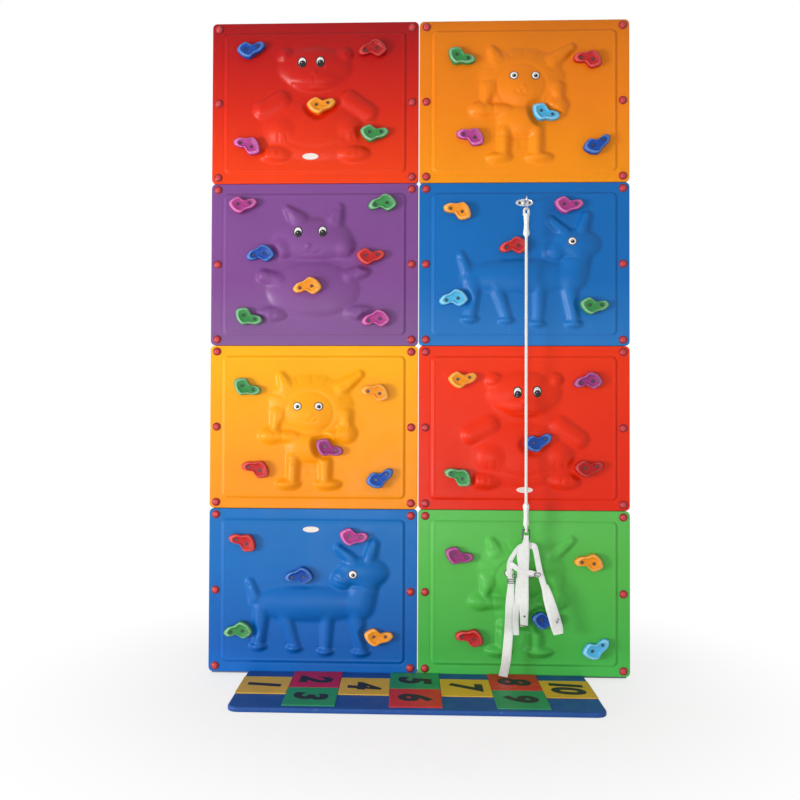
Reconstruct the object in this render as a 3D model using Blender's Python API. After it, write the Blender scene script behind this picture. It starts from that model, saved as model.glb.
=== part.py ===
"""Climbing wall: two columns of four moulded panels with relief figures and bolt-on holds,
a rear steel frame, a safety rope with a webbing harness, and a numbered landing mat.

Metres, +Z up. The origin is on the floor, at the middle of the width, in the plane of the
steel uprights. The climbing side faces -Y.
"""

import math

import bmesh
import bpy
import numpy as np
from mathutils import Matrix, Vector

# Overall layout
SEAT_GAP = 0.0003
COLUMNS = 2
ROWS = 4
COLUMN_GAP = 0.005
ROW_GAP = 0.002
PANEL_BOTTOM = 0.020

# Moulded panels
PANEL_WIDTH = 1.150
PANEL_HEIGHT = 0.898
PANEL_THICKNESS = 0.050
PANEL_CORNER = 0.025
PANEL_EDGE_BEVEL = 0.004
FIELD_SIDE_BORDER = 0.068
FIELD_END_BORDER = 0.054
FIELD_RISE = 0.008
FIELD_BEVEL = 0.012
FIELD_CORNER = 0.030
BACK_RIM = 0.062
BACK_RIB = 0.024
BACK_HOLLOWS = 3
FRONT_WALL = 0.012
CORNER_SEGMENTS = 3

# Relief figures
RELIEF_GRID = 0.012
RELIEF_SINK = 0.002
RELIEF_ROOT = 0.007
RELIEF_BLEND = 0.010
RELIEF_EDGE_POWER = 0.62
RELIEF_TRIANGLES = 340
FIGURE_UNIT = 0.001

# Panel fastening
BOLT_INSET_X = 0.037
BOLT_INSET_Z = 0.033
STUD_RADIUS = 0.006
STUD_CLEARANCE = 0.0006
CAP_RADIUS = 0.0225
CAP_HEIGHT = 0.0125
CAP_PROFILE = ((1.00, 0.00), (0.66, 0.90))
FASTENER_SIDES = 8

# Hand and foot holds
HOLD_HEIGHT = 0.045
HOLD_LENGTH = 0.157
HOLD_TOP_SCALE = 0.70
HOLD_SHOULDER = 0.62
HOLD_FOOT_SCALE = 0.95
HOLD_TOP_TILT = 0.006
HOLD_POCKET_MARGIN = 0.003
HOLD_SEAT_LIFT = 0.0001
HOLD_BOLTS = ((-0.023, 0.000), (0.040, 0.010))
HOLD_PIT_RADIUS = 0.0105
HOLD_PIT_DEPTH = 0.012
HOLD_PIT_SIDES = 6

# Steel frame
TUBE_SIZE = 0.040
TUBE_WALL = 0.003
SILL_THICKNESS = 0.008
SILL_FRONT = 0.020
SILL_OVERHANG = 0.030
FRAME_TOP_MARGIN = 0.006
WELD_OVERLAP = 0.001
ANCHOR_ROW = 2
ANCHOR_DROP = 0.114
TOP_RUNG_DROP = 0.058
LOW_BRACKET_HEIGHT = 0.600
HIGH_BRACKET_DROP = 0.518
BRACKET_TALL = 0.090
BRACKET_STEEL = 0.005
BRACKET_REACH = 0.065
BRACKET_FLANGE = 0.060

# Pad eye, link and rope
ROPE_OFFSET = 0.088
PAD_WIDTH = 0.098
PAD_HEIGHT = 0.043
PAD_THICKNESS = 0.005
PAD_SCREW_SPACING = 0.048
PAD_SCREW_RADIUS = 0.0065
PAD_SCREW_HEIGHT = 0.004
PAD_SCREW_CROWN = 0.7
NECK_RADIUS = 0.0055
EYE_RADIUS = 0.0125
EYE_WIRE = 0.0038
LINK_WIRE = 0.0026
LINK_LENGTH = 0.056
LINK_TOP_HALF = 0.0095
LINK_BOTTOM_HALF = 0.0125
LINK_BEND = 0.08
ROPE_RADIUS = 0.008
EYE_ROPE_RADIUS = 0.007
EYE_SLOT_HALF = 0.0045
EYE_LEG = 0.026
TOP_SPLICE_LENGTH = 0.135
SPLICE_RADIUS = 0.0185
SPLICE_PROFILE = ((0.0, 0.0155), (0.10, 0.0150), (0.40, 0.0135), (0.68, 0.0145),
                  (0.82, SPLICE_RADIUS), (0.92, 0.0160), (1.0, 0.0090))
LOW_SPLICE_LENGTH = 0.135
ROPE_POINT_SPACING = 0.045
ROPE_SIDES = 8
MERGE_DISTANCE = 0.00001
CARABINER_HALF_WIDTH = 0.0190
CARABINER_HALF_HEIGHT = 0.0270
CARABINER_CORNER = 0.009
CARABINER_WIRE = 0.0040
GATE_LENGTH = 0.030
GATE_WIRE = 0.0034
GATE_CLEARANCE = 0.0007
GATE_PROFILE = ((-1.0, 0.0, 0.55), (-1.0, 1.0, 1.0), (1.0, -1.0, 1.0), (1.0, 0.0, 0.75))

# Harness webbing
STRAP_UNIT = 0.001
WEB_THICKNESS = 0.0025
SEW_OVERLAP = 0.0004
TIE_IN_WIDTH = 0.019
PAD_STRAP_THICKNESS = 0.009
PAD_CROWN = 0.001
BUCKLE_WIDTH = 0.040
BUCKLE_HEIGHT = 0.026
BUCKLE_BAR = 0.006
BUCKLE_THICKNESS = 0.004
BUCKLE_CORNER = 0.004
BUCKLE_X = -0.080
BUCKLE_DROP = 0.250
HARNESS_DROP = 0.758
HARNESS_CLEARANCE = 0.012
TIE_IN_TAIL = 0.062
TIE_IN_CLOSE = 0.032

# Landing mat
MAT_LENGTH = 1.830
MAT_DEPTH = 0.610
MAT_THICKNESS = 0.026
MAT_CENTRE_X = -0.015
MAT_BACK_CORNER = 0.012
MAT_FRONT_CORNER = 0.050
MAT_COLUMNS = 7
TILE_DEPTH = 0.255
TILE_THICKNESS = 0.004
TILE_BACK_MARGIN = 0.012
TILE_SEAM = 0.002
SINGLE_TILE_SETBACK = 0.030

# Sizes that follow from the ones above
COLUMN_PITCH = PANEL_WIDTH + COLUMN_GAP
ROW_PITCH = PANEL_HEIGHT + ROW_GAP
WALL_TOP = PANEL_BOTTOM + ROWS * ROW_PITCH - ROW_GAP
PANEL_BACK_Y = -TUBE_SIZE / 2 - SEAT_GAP
BORDER_Y = PANEL_BACK_Y - PANEL_THICKNESS
FIELD_Y = BORDER_Y - FIELD_RISE
BOLT_X = PANEL_WIDTH / 2 - BOLT_INSET_X
BOLT_Z = PANEL_HEIGHT / 2 - BOLT_INSET_Z
ROPE_X = COLUMN_PITCH / 2
ROPE_Y = FIELD_Y - ROPE_OFFSET
EYE_Z = PANEL_BOTTOM + ANCHOR_ROW * ROW_PITCH + PANEL_HEIGHT - ANCHOR_DROP
RUNG_HEIGHTS = (EYE_Z / 2, EYE_Z, WALL_TOP - TOP_RUNG_DROP)
BRACKET_HEIGHTS = (LOW_BRACKET_HEIGHT, WALL_TOP - HIGH_BRACKET_DROP)

COLOURS = {
    "red": (0.85, 0.045, 0.02),
    "orange": (0.90, 0.30, 0.02),
    "purple": (0.235, 0.08, 0.28),
    "blue": (0.012, 0.13, 0.47),
    "yellow": (0.95, 0.43, 0.02),
    "green": (0.10, 0.50, 0.09),
    "dark_red": (0.55, 0.02, 0.03),
    "magenta": (0.60, 0.08, 0.35),
    "light_blue": (0.12, 0.45, 0.75),
    "steel": (0.55, 0.56, 0.58),
    "dark_steel": (0.08, 0.08, 0.09),
    "frame_grey": (0.30, 0.31, 0.33),
    "white_rope": (0.86, 0.87, 0.84),
}


def clear_scene():
    for item in list(bpy.data.objects):
        bpy.data.objects.remove(item, do_unlink=True)


def material(name, roughness=0.45, metallic=0.0):
    """One Principled material for each object, named after its colour."""
    mat = bpy.data.materials.new(name)
    mat.use_nodes = True
    shader = mat.node_tree.nodes["Principled BSDF"]
    shader.inputs["Base Color"].default_value = (*COLOURS[name], 1.0)
    shader.inputs["Roughness"].default_value = roughness
    shader.inputs["Metallic"].default_value = metallic
    return mat


def add_object(name, bm, colour, roughness=0.45, metallic=0.0, smooth_angle=None):
    """Turn a bmesh into a named object with its own material."""
    bmesh.ops.recalc_face_normals(bm, faces=bm.faces)
    mesh = bpy.data.meshes.new(name)
    bm.to_mesh(mesh)
    bm.free()
    if smooth_angle is not None:
        mesh.shade_smooth()
        mesh.set_sharp_from_angle(angle=math.radians(smooth_angle))
    mesh.materials.append(material(colour, roughness, metallic))
    item = bpy.data.objects.new(name, mesh)
    bpy.context.scene.collection.objects.link(item)
    return item


def as_helper(item):
    """Mark an object as a construction piece that is not part of the model."""
    item.hide_render = True
    item.display_type = "WIRE"
    return item


def combine(target, helper, operation):
    """Keep a Boolean on the target, fed by a helper piece."""
    as_helper(helper)
    step = target.modifiers.new(helper.name, "BOOLEAN")
    step.operation = operation
    step.solver = "EXACT"
    step.object = helper


def loft(bm, rings, closed=False):
    """Skin rings of equal length, in order, and cap both ends unless the loft is closed."""
    made = [[bm.verts.new(point) for point in ring] for ring in rings]
    count = len(made[0])
    spans = len(made) if closed else len(made) - 1
    for index in range(spans):
        first, second = made[index], made[(index + 1) % len(made)]
        for step in range(count):
            following = (step + 1) % count
            bm.faces.new((first[step], first[following], second[following], second[step]))
    if not closed:
        bm.faces.new(list(reversed(made[0])))
        bm.faces.new(made[-1])
    return made


def box(bm, low, high):
    """An axis-aligned block between two corners."""
    ring = ((low[0], low[1]), (high[0], low[1]), (high[0], high[1]), (low[0], high[1]))
    loft(bm, [[(x, y, z) for x, y in ring] for z in (low[2], high[2])])


def rounded_rectangle(width, height, radius, segments=CORNER_SEGMENTS):
    """Outline points, anticlockwise, with arc corners."""
    points = []
    corners = ((1, 1, 0), (-1, 1, 90), (-1, -1, 180), (1, -1, 270))
    for side_x, side_z, start in corners:
        centre_x = side_x * (width / 2 - radius)
        centre_z = side_z * (height / 2 - radius)
        for step in range(segments + 1):
            angle = math.radians(start + 90 * step / segments)
            points.append((centre_x + radius * math.cos(angle), centre_z + radius * math.sin(angle)))
    return points


def circle(radius, sides, phase=0.0):
    """Corner points of a regular polygon."""
    turn = 2 * math.pi / sides
    return [(radius * math.cos(turn * (step + phase)), radius * math.sin(turn * (step + phase)))
            for step in range(sides)]


def facing_ring(outline, centre, y):
    """Place a flat outline in a plane that faces the climber."""
    return [(centre[0] + x, y, centre[1] + z) for x, z in outline]


def facing_prism(bm, outline, centre, y_back, y_front):
    """A straight prism that stands out from the wall."""
    loft(bm, [facing_ring(outline, centre, y_back), facing_ring(outline, centre, y_front)])


def tube(bm, points, radius, sides=8, closed=False):
    """A round bar or cord swept along points; radius may be one value or one for each point."""
    path = [Vector(point) for point in points]
    count = len(path)
    radii = [radius] * count if isinstance(radius, (int, float)) else list(radius)
    rings = []
    normal = None
    for index, centre in enumerate(path):
        before = path[index - 1] if index or closed else path[index]
        after = path[(index + 1) % count] if index < count - 1 or closed else path[index]
        direction = (after - before).normalized()
        if normal is None:
            guide = Vector((0, 1, 0)) if abs(direction.y) < 0.9 else Vector((1, 0, 0))
            normal = (guide - direction * guide.dot(direction)).normalized()
        else:
            normal = (normal - direction * normal.dot(direction)).normalized()
        side = direction.cross(normal)
        rings.append([tuple(centre + radii[index] * (x * normal + z * side))
                      for x, z in circle(1.0, sides, 0.5)])
    loft(bm, rings, closed)


def panel_centre(column, row):
    """Middle of a panel; column 0 is on the left, row 0 is at the bottom."""
    x = (column - (COLUMNS - 1) / 2) * COLUMN_PITCH
    z = PANEL_BOTTOM + row * ROW_PITCH + PANEL_HEIGHT / 2
    return x, z


def bolt_points():
    """The six fastening points of a panel, from its centre."""
    return [(side * BOLT_X, level * BOLT_Z) for side in (-1, 1) for level in (-1, 0, 1)]


# Relief figures: each pad is an ellipse or a tapering limb with its own rise.
# Places, radii and rises are in figure units from the panel's centre.

def dome(x, z, half_width, half_height, rise):
    return ("dome", x, z, half_width, half_height, rise)


def limb(x0, z0, radius0, x1, z1, radius1, rise):
    return ("limb", x0, z0, radius0, x1, z1, radius1, rise)


def cat_figure():
    head = [dome(-7, 138, 224, 118, 44), dome(-176, 90, 63, 63, 38), dome(162, 98, 63, 63, 38)]
    ears = [limb(-95, 240, 50, -164, 312, 14, 34), limb(120, 240, 50, 150, 335, 14, 34)]
    nose = [dome(-27, 94, 22, 15, 54)]
    body = [dome(-7, -146, 260, 158, 38)]
    arms = [limb(-190, -90, 42, -279, -67, 40, 32), limb(190, -70, 42, 272, -39, 40, 32)]
    feet = [dome(-239, -279, 95, 45, 32), dome(257, -271, 95, 45, 32)]
    return head + ears + nose + body + arms + feet


def donkey_figure():
    head = [dome(275, 104, 143, 88, 44), dome(164, 63, 60, 56, 46)]
    ears = [limb(219, 170, 30, 132, 252, 14, 30), limb(310, 180, 36, 342, 285, 14, 30)]
    neck = [limb(290, 40, 76, 255, -70, 88, 36)]
    body = [dome(-11, -69, 345, 95, 38)]
    tail = [limb(-316, -40, 24, -360, 67, 14, 24)]
    legs = [limb(-281, -100, 48, -293, -291, 32, 28), limb(-154, -120, 40, -94, -300, 28, 26),
            limb(84, -130, 38, 76, -318, 28, 26), limb(243, -130, 46, 271, -318, 30, 28)]
    hooves = [dome(-298, -305, 48, 24, 32), dome(-98, -312, 44, 22, 30),
              dome(72, -330, 44, 22, 30), dome(268, -332, 48, 24, 32)]
    return head + ears + neck + body + tail + legs + hooves


def maned_figure():
    mane = [dome(-12, 124, 236, 165, 34), limb(-190, 70, 50, -214, -5, 24, 28),
            limb(172, 70, 50, 190, -5, 24, 28)]
    ears = [limb(150, 215, 44, 271, 301, 12, 30), limb(-150, 225, 42, -180, 290, 14, 28)]
    face = [dome(-20, 77, 130, 112, 44), dome(-12, 65, 18, 13, 53)]
    arms = [limb(-100, -55, 40, -190, -50, 34, 30), limb(90, -55, 40, 140, -42, 34, 30)]
    hands = [dome(-235, -49, 70, 47, 32), dome(177, -33, 66, 60, 32)]
    torso = [dome(-12, -104, 140, 95, 36)]
    legs = [limb(-110, -170, 38, -114, -290, 34, 28), limb(67, -170, 38, 67, -290, 34, 28)]
    shoes = [dome(-138, -316, 75, 30, 34), dome(83, -316, 80, 30, 34)]
    return mane + ears + face + arms + hands + torso + legs + shoes


def bear_figure():
    head = [dome(0, 190, 205, 118, 38), dome(-165, 262, 46, 42, 28), dome(165, 262, 46, 42, 28)]
    muzzle = [dome(0, 128, 150, 70, 46), dome(0, 150, 34, 20, 52)]
    shoulders = [limb(-190, 10, 60, -290, -40, 52, 26), limb(190, 10, 60, 296, -60, 54, 26)]
    body = [dome(-6, -150, 285, 175, 30)]
    paws = [dome(-172, -158, 88, 80, 36), dome(186, -150, 80, 72, 34)]
    feet = [dome(-216, -290, 95, 46, 32), dome(216, -290, 95, 46, 32)]
    return head + muzzle + shoulders + body + paws + feet


def pad_height(pad, x, z):
    """Signed rise of one pad at points x, z: positive inside its outline, negative outside."""
    if pad[0] == "dome":
        _, centre_x, centre_z, half_width, half_height, rise = pad
        reach = np.sqrt(((x - centre_x) / half_width) ** 2 + ((z - centre_z) / half_height) ** 2)
    else:
        _, x0, z0, radius0, x1, z1, radius1, rise = pad
        span_x, span_z = x1 - x0, z1 - z0
        along = ((x - x0) * span_x + (z - z0) * span_z) / (span_x ** 2 + span_z ** 2)
        along = np.clip(along, 0.0, 1.0)
        distance = np.hypot(x - x0 - along * span_x, z - z0 - along * span_z)
        reach = distance / (radius0 + along * (radius1 - radius0))
    inside = np.clip(1.0 - reach ** 2, 0.0, 1.0) ** RELIEF_EDGE_POWER
    return rise * np.where(reach < 1.0, inside, 1.0 - reach)


def relief_height(pads, x, z):
    """Rise of a whole figure in metres at panel points in metres, its pads blended softly."""
    blend = RELIEF_BLEND / FIGURE_UNIT
    total = None
    for pad in pads:
        height = pad_height(pad, np.asarray(x) / FIGURE_UNIT, np.asarray(z) / FIGURE_UNIT)
        if total is None:
            total = height
        else:
            overlap = np.clip(blend - np.abs(total - height), 0.0, None)
            total = np.maximum(total, height) + overlap ** 2 / (4 * blend)
    return total * FIGURE_UNIT


def relief_solid(name, pads, centre, colour):
    """The figure as a closed block whose foot is sunk into the panel's field."""
    half_x = PANEL_WIDTH / 2 - FIELD_SIDE_BORDER - 2 * FIELD_BEVEL
    half_z = PANEL_HEIGHT / 2 - FIELD_END_BORDER - 2 * FIELD_BEVEL
    across = np.linspace(-half_x, half_x, int(2 * half_x / RELIEF_GRID) + 1)
    upward = np.linspace(-half_z, half_z, int(2 * half_z / RELIEF_GRID) + 1)
    grid_x, grid_z = np.meshgrid(across, upward)
    rise = np.maximum(relief_height(pads, grid_x, grid_z), -RELIEF_SINK)
    bm = bmesh.new()
    rows = [[bm.verts.new((centre[0] + grid_x[j, i], FIELD_Y - rise[j, i], centre[1] + grid_z[j, i]))
             for i in range(len(across))] for j in range(len(upward))]
    for j in range(len(upward) - 1):
        for i in range(len(across) - 1):
            bm.faces.new((rows[j][i], rows[j][i + 1], rows[j + 1][i + 1], rows[j + 1][i]))
    rim = rows[0] + [row[-1] for row in rows[1:]] + rows[-1][-2::-1] + [row[0] for row in rows[-2:0:-1]]
    foot = [bm.verts.new((vert.co.x, FIELD_Y + RELIEF_ROOT, vert.co.z)) for vert in rim]
    for step, vert in enumerate(rim):
        following = (step + 1) % len(rim)
        bm.faces.new((vert, rim[following], foot[following], foot[step]))
    bm.faces.new(foot)
    solid = add_object(name, bm, colour)
    thin = solid.modifiers.new("fewer_faces", "DECIMATE")
    solid.data.calc_loop_triangles()
    thin.ratio = RELIEF_TRIANGLES / len(solid.data.loop_triangles)
    return solid


def panel_slab(name, centre, colour):
    """The plain moulding: rounded slab, eased front edge and raised field."""
    outer = rounded_rectangle(PANEL_WIDTH, PANEL_HEIGHT, PANEL_CORNER)
    eased = rounded_rectangle(PANEL_WIDTH - 2 * PANEL_EDGE_BEVEL, PANEL_HEIGHT - 2 * PANEL_EDGE_BEVEL,
                              PANEL_CORNER - PANEL_EDGE_BEVEL)
    field_width = PANEL_WIDTH - 2 * FIELD_SIDE_BORDER
    field_height = PANEL_HEIGHT - 2 * FIELD_END_BORDER
    field_foot = rounded_rectangle(field_width, field_height, FIELD_CORNER)
    field_top = rounded_rectangle(field_width - 2 * FIELD_BEVEL, field_height - 2 * FIELD_BEVEL,
                                  FIELD_CORNER - FIELD_BEVEL)
    bm = bmesh.new()
    loft(bm, [facing_ring(outer, centre, PANEL_BACK_Y),
              facing_ring(outer, centre, BORDER_Y + PANEL_EDGE_BEVEL),
              facing_ring(eased, centre, BORDER_Y),
              facing_ring(field_foot, centre, BORDER_Y),
              facing_ring(field_top, centre, FIELD_Y)])
    return add_object(name, bm, colour, roughness=0.35, smooth_angle=28)


def back_hollows(name, centre, colour):
    """Hollows behind the field, with upright ribs left between them."""
    bm = bmesh.new()
    room = PANEL_WIDTH - 2 * BACK_RIM + BACK_RIB
    pitch = room / BACK_HOLLOWS
    width = pitch - BACK_RIB
    half_height = PANEL_HEIGHT / 2 - BACK_RIM
    for index in range(BACK_HOLLOWS):
        x = centre[0] + (index - (BACK_HOLLOWS - 1) / 2) * pitch
        box(bm, (x - width / 2, BORDER_Y + FRONT_WALL, centre[1] - half_height),
            (x + width / 2, PANEL_BACK_Y + PANEL_THICKNESS / 2, centre[1] + half_height))
    return add_object(name, bm, colour)


def stud_holes(name, centre, colour):
    """Clearance holes for the six studs of a panel."""
    bm = bmesh.new()
    outline = circle(STUD_RADIUS + STUD_CLEARANCE, FASTENER_SIDES)
    for x, z in bolt_points():
        facing_prism(bm, outline, (centre[0] + x, centre[1] + z),
                     PANEL_BACK_Y + PANEL_THICKNESS / 2, FIELD_Y - PANEL_THICKNESS / 2)
    return add_object(name, bm, colour)


# Climbing holds

def hold_outline():
    """Foot outline of a hold: a rounded wedge with a hooked tail towards +X."""
    shares = [(-0.484, 0.000), (-0.401, 0.153), (-0.178, 0.268), (0.064, 0.153), (0.242, 0.204),
              (0.420, 0.217), (0.516, 0.089), (0.382, -0.089), (0.146, -0.185), (-0.064, -0.325),
              (-0.318, -0.229)]
    return [(HOLD_LENGTH * x, HOLD_LENGTH * z) for x, z in shares]


def turned(outline, degrees, scale=1.0):
    """Scale an outline about its origin and turn it."""
    cosine, sine = math.cos(math.radians(degrees)), math.sin(math.radians(degrees))
    return [(scale * (x * cosine - z * sine), scale * (x * sine + z * cosine)) for x, z in outline]


def grown(outline, margin):
    """Move an outline outwards by a margin, measured from its middle."""
    return [(x * (1 + margin / math.hypot(x, z)), z * (1 + margin / math.hypot(x, z)))
            for x, z in outline]


def hold_mesh():
    """One hold in its own frame, foot at y = 0 and standing out along -Y, with two bolt pits."""
    foot = hold_outline()
    top = []
    for x, z in turned(foot, 0, HOLD_TOP_SCALE):
        top.append((x, -HOLD_HEIGHT + HOLD_TOP_TILT * (1 + z / HOLD_HEIGHT), z))
    bm = bmesh.new()
    loft(bm, [facing_ring(turned(foot, 0, HOLD_FOOT_SCALE), (0, 0), 0.0),
              facing_ring(foot, (0, 0), -HOLD_HEIGHT * HOLD_SHOULDER),
              top])
    pattern = add_object("hold_pattern", bm, "red")
    pits = bmesh.new()
    for x, z in HOLD_BOLTS:
        facing_prism(pits, circle(HOLD_PIT_RADIUS, HOLD_PIT_SIDES), (x, z),
                     -HOLD_HEIGHT + HOLD_PIT_DEPTH, -2 * HOLD_HEIGHT)
    combine(pattern, add_object("hold_pits", pits, "red"), "DIFFERENCE")
    graph = bpy.context.evaluated_depsgraph_get()
    finished = bpy.data.meshes.new_from_object(pattern.evaluated_get(graph), depsgraph=graph)
    finished.shade_smooth()
    finished.set_sharp_from_angle(angle=math.radians(50))
    as_helper(pattern)
    return finished


# Holds on each panel: colour, place as a share of the panel's half width and half height,
# and the turn of the tail in degrees.
RED_BEAR_TOP = [("blue", -0.62, 0.65, 5), ("dark_red", 0.56, 0.64, 180), ("orange", 0.06, -0.05, 0),
                ("green", 0.57, -0.40, -8), ("magenta", -0.64, -0.54, 152)]
ORANGE_MANED = [("green", -0.61, 0.53, -28), ("red", 0.60, 0.49, 162),
                ("light_blue", 0.19, -0.17, -28), ("magenta", -0.51, -0.45, 155),
                ("blue", 0.68, -0.56, 20)]
PURPLE_CAT = [("magenta", -0.69, 0.73, -3), ("green", 0.66, 0.74, 180), ("blue", -0.51, 0.12, 180),
              ("red", 0.54, 0.09, -4), ("orange", -0.05, -0.29, 180), ("green", -0.63, -0.66, -28),
              ("magenta", 0.60, -0.68, 180)]
BLUE_DONKEY = [("orange", -0.63, 0.65, 155), ("magenta", 0.41, 0.71, -8), ("red", -0.10, 0.21, 180),
               ("light_blue", -0.67, -0.43, 180), ("green", 0.65, -0.52, -8)]
YELLOW_MANED = [("green", -0.64, 0.48, -28), ("orange", 0.60, 0.43, 160),
                ("purple", 0.15, -0.26, -28), ("red", -0.54, -0.51, 155), ("blue", 0.64, -0.62, 20)]
RED_BEAR = [("orange", -0.59, 0.59, 0), ("purple", 0.60, 0.57, 180), ("blue", 0.12, -0.17, 12),
            ("green", -0.62, -0.59, 147), ("dark_red", 0.60, -0.48, 0)]
BLUE_DONKEY_LOW = [("red", -0.66, 0.60, 150), ("magenta", 0.39, 0.67, -12), ("blue", -0.12, 0.19, 176),
                   ("green", -0.70, -0.48, 178), ("orange", 0.63, -0.54, -8)]
GREEN_MANED = [("purple", -0.62, 0.45, -20), ("orange", 0.61, 0.39, 165), ("blue", 0.20, -0.31, -5),
               ("red", -0.51, -0.53, 160), ("light_blue", 0.67, -0.65, 22)]

# Panels: node name, column, row, colour, figure and holds.
PANELS = [
    ("panel_row4_left_red", 0, 3, "red", bear_figure, RED_BEAR_TOP),
    ("panel_row4_right_orange", 1, 3, "orange", maned_figure, ORANGE_MANED),
    ("panel_row3_left_purple", 0, 2, "purple", cat_figure, PURPLE_CAT),
    ("panel_row3_right_blue", 1, 2, "blue", donkey_figure, BLUE_DONKEY),
    ("panel_row2_left_yellow", 0, 1, "yellow", maned_figure, YELLOW_MANED),
    ("panel_row2_right_red", 1, 1, "red", bear_figure, RED_BEAR),
    ("panel_row1_left_blue", 0, 0, "blue", donkey_figure, BLUE_DONKEY_LOW),
    ("panel_row1_right_green", 1, 0, "green", maned_figure, GREEN_MANED),
]


def hold_place(hold):
    """Panel-local place of a hold in metres."""
    _, share_x, share_z, _ = hold
    return share_x * PANEL_WIDTH / 2, share_z * PANEL_HEIGHT / 2


def hold_seat(hold, pads):
    """Height of a hold's seat above the field: the lowest relief under its foot."""
    place_x, place_z = hold_place(hold)
    outline = turned(hold_outline(), hold[3]) + [(0.0, 0.0)]
    x = np.array([place_x + point[0] for point in outline])
    z = np.array([place_z + point[1] for point in outline])
    return max(0.0, float(relief_height(pads, x, z).min())) + HOLD_SEAT_LIFT


def hold_pockets(name, holds, pads, centre, colour):
    """Cutter that leaves a flat seat under every hold that meets the relief."""
    bm = bmesh.new()
    for hold in holds:
        place_x, place_z = hold_place(hold)
        outline = turned(grown(hold_outline(), HOLD_POCKET_MARGIN), hold[3])
        facing_prism(bm, outline, (centre[0] + place_x, centre[1] + place_z),
                     FIELD_Y - hold_seat(hold, pads), FIELD_Y - 2 * HOLD_HEIGHT)
    return add_object(name, bm, colour)


def build_panels():
    for name, column, row, colour, figure, holds in PANELS:
        centre = panel_centre(column, row)
        pads = figure()
        panel = panel_slab(name, centre, colour)
        combine(panel, relief_solid(name + "_relief", pads, centre, colour), "UNION")
        combine(panel, hold_pockets(name + "_seats", holds, pads, centre, colour), "DIFFERENCE")
        combine(panel, back_hollows(name + "_hollows", centre, colour), "DIFFERENCE")
        combine(panel, stud_holes(name + "_holes", centre, colour), "DIFFERENCE")


def build_holds():
    """Every hold is its own piece; all of them share one mesh."""
    pattern = hold_mesh()
    colours = {}
    for panel_name, column, row, _, figure, holds in PANELS:
        centre = panel_centre(column, row)
        pads = figure()
        place_name = "_".join(panel_name.split("_")[1:3])
        for number, hold in enumerate(holds, start=1):
            colour, _, _, tail = hold
            item = bpy.data.objects.new(f"hold_{place_name}_{number}_{colour}", pattern)
            bpy.context.scene.collection.objects.link(item)
            place_x, place_z = hold_place(hold)
            foot_y = FIELD_Y - hold_seat(hold, pads) - SEAT_GAP
            item.location = (centre[0] + place_x, foot_y, centre[1] + place_z)
            item.rotation_euler = (0, -math.radians(tail), 0)
            if colour not in colours:
                colours[colour] = material(colour, roughness=0.4)
            item.material_slots[0].link = "OBJECT"
            item.material_slots[0].material = colours[colour]


# Steel frame

def upright_places():
    """X of the four uprights, behind the panels' bolt lines."""
    return [panel_centre(column, 0)[0] + side * BOLT_X for column in range(COLUMNS) for side in (-1, 1)]


def frame_bars(name, half, bottom, top, rung_overlap):
    """Uprights and rungs as overlapping square bars of one half width."""
    bars = []
    for index, x in enumerate(upright_places()):
        bm = bmesh.new()
        box(bm, (x - half, -half, bottom), (x + half, half, top))
        bars.append(add_object(f"{name}_upright_{index}", bm, "frame_grey"))
    reach = BOLT_X - TUBE_SIZE / 2 + rung_overlap
    for column in range(COLUMNS):
        x = panel_centre(column, 0)[0]
        for index, height in enumerate(RUNG_HEIGHTS):
            bm = bmesh.new()
            box(bm, (x - reach, -half, height - half), (x + reach, half, height + half))
            bars.append(add_object(f"{name}_rung_{column}_{index}", bm, "frame_grey"))
    return bars


def build_frame():
    """Two welded ladders of square tube on a common sill, with studs, cap nuts and wall angles."""
    bm = bmesh.new()
    half_sill = upright_places()[-1] + SILL_OVERHANG
    box(bm, (-half_sill, -SILL_FRONT, 0), (half_sill, BRACKET_REACH, SILL_THICKNESS))
    frame = add_object("wall_frame", bm, "frame_grey", roughness=0.5, metallic=0.8)
    top = WALL_TOP - FRAME_TOP_MARGIN
    half = TUBE_SIZE / 2
    for bar in frame_bars("outer", half, SILL_THICKNESS - WELD_OVERLAP, top, WELD_OVERLAP):
        combine(frame, bar, "UNION")
    bore = half - TUBE_WALL
    for bar in frame_bars("bore", bore, SILL_THICKNESS + TUBE_WALL, top + TUBE_WALL, TUBE_SIZE / 2):
        combine(frame, bar, "DIFFERENCE")
    combine(frame, wall_angles(), "UNION")
    combine(frame, studs_with_caps(), "UNION")


def wall_angles():
    """Steel angles on the uprights' sides; their rear flanges meet a building's wall."""
    bm = bmesh.new()
    for index, x in enumerate(upright_places()):
        side = -1 if index % 2 else 1
        near = x + side * (TUBE_SIZE / 2 - WELD_OVERLAP)
        far = near + side * BRACKET_STEEL
        tip = near + side * BRACKET_FLANGE
        outline = [(near, -TUBE_SIZE / 4), (far, -TUBE_SIZE / 4), (far, BRACKET_REACH - BRACKET_STEEL),
                   (tip, BRACKET_REACH - BRACKET_STEEL), (tip, BRACKET_REACH), (near, BRACKET_REACH)]
        for height in BRACKET_HEIGHTS:
            loft(bm, [[(px, py, height + end * BRACKET_TALL / 2) for px, py in outline]
                      for end in (-1, 1)])
    return add_object("wall_angles", bm, "frame_grey")


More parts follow.
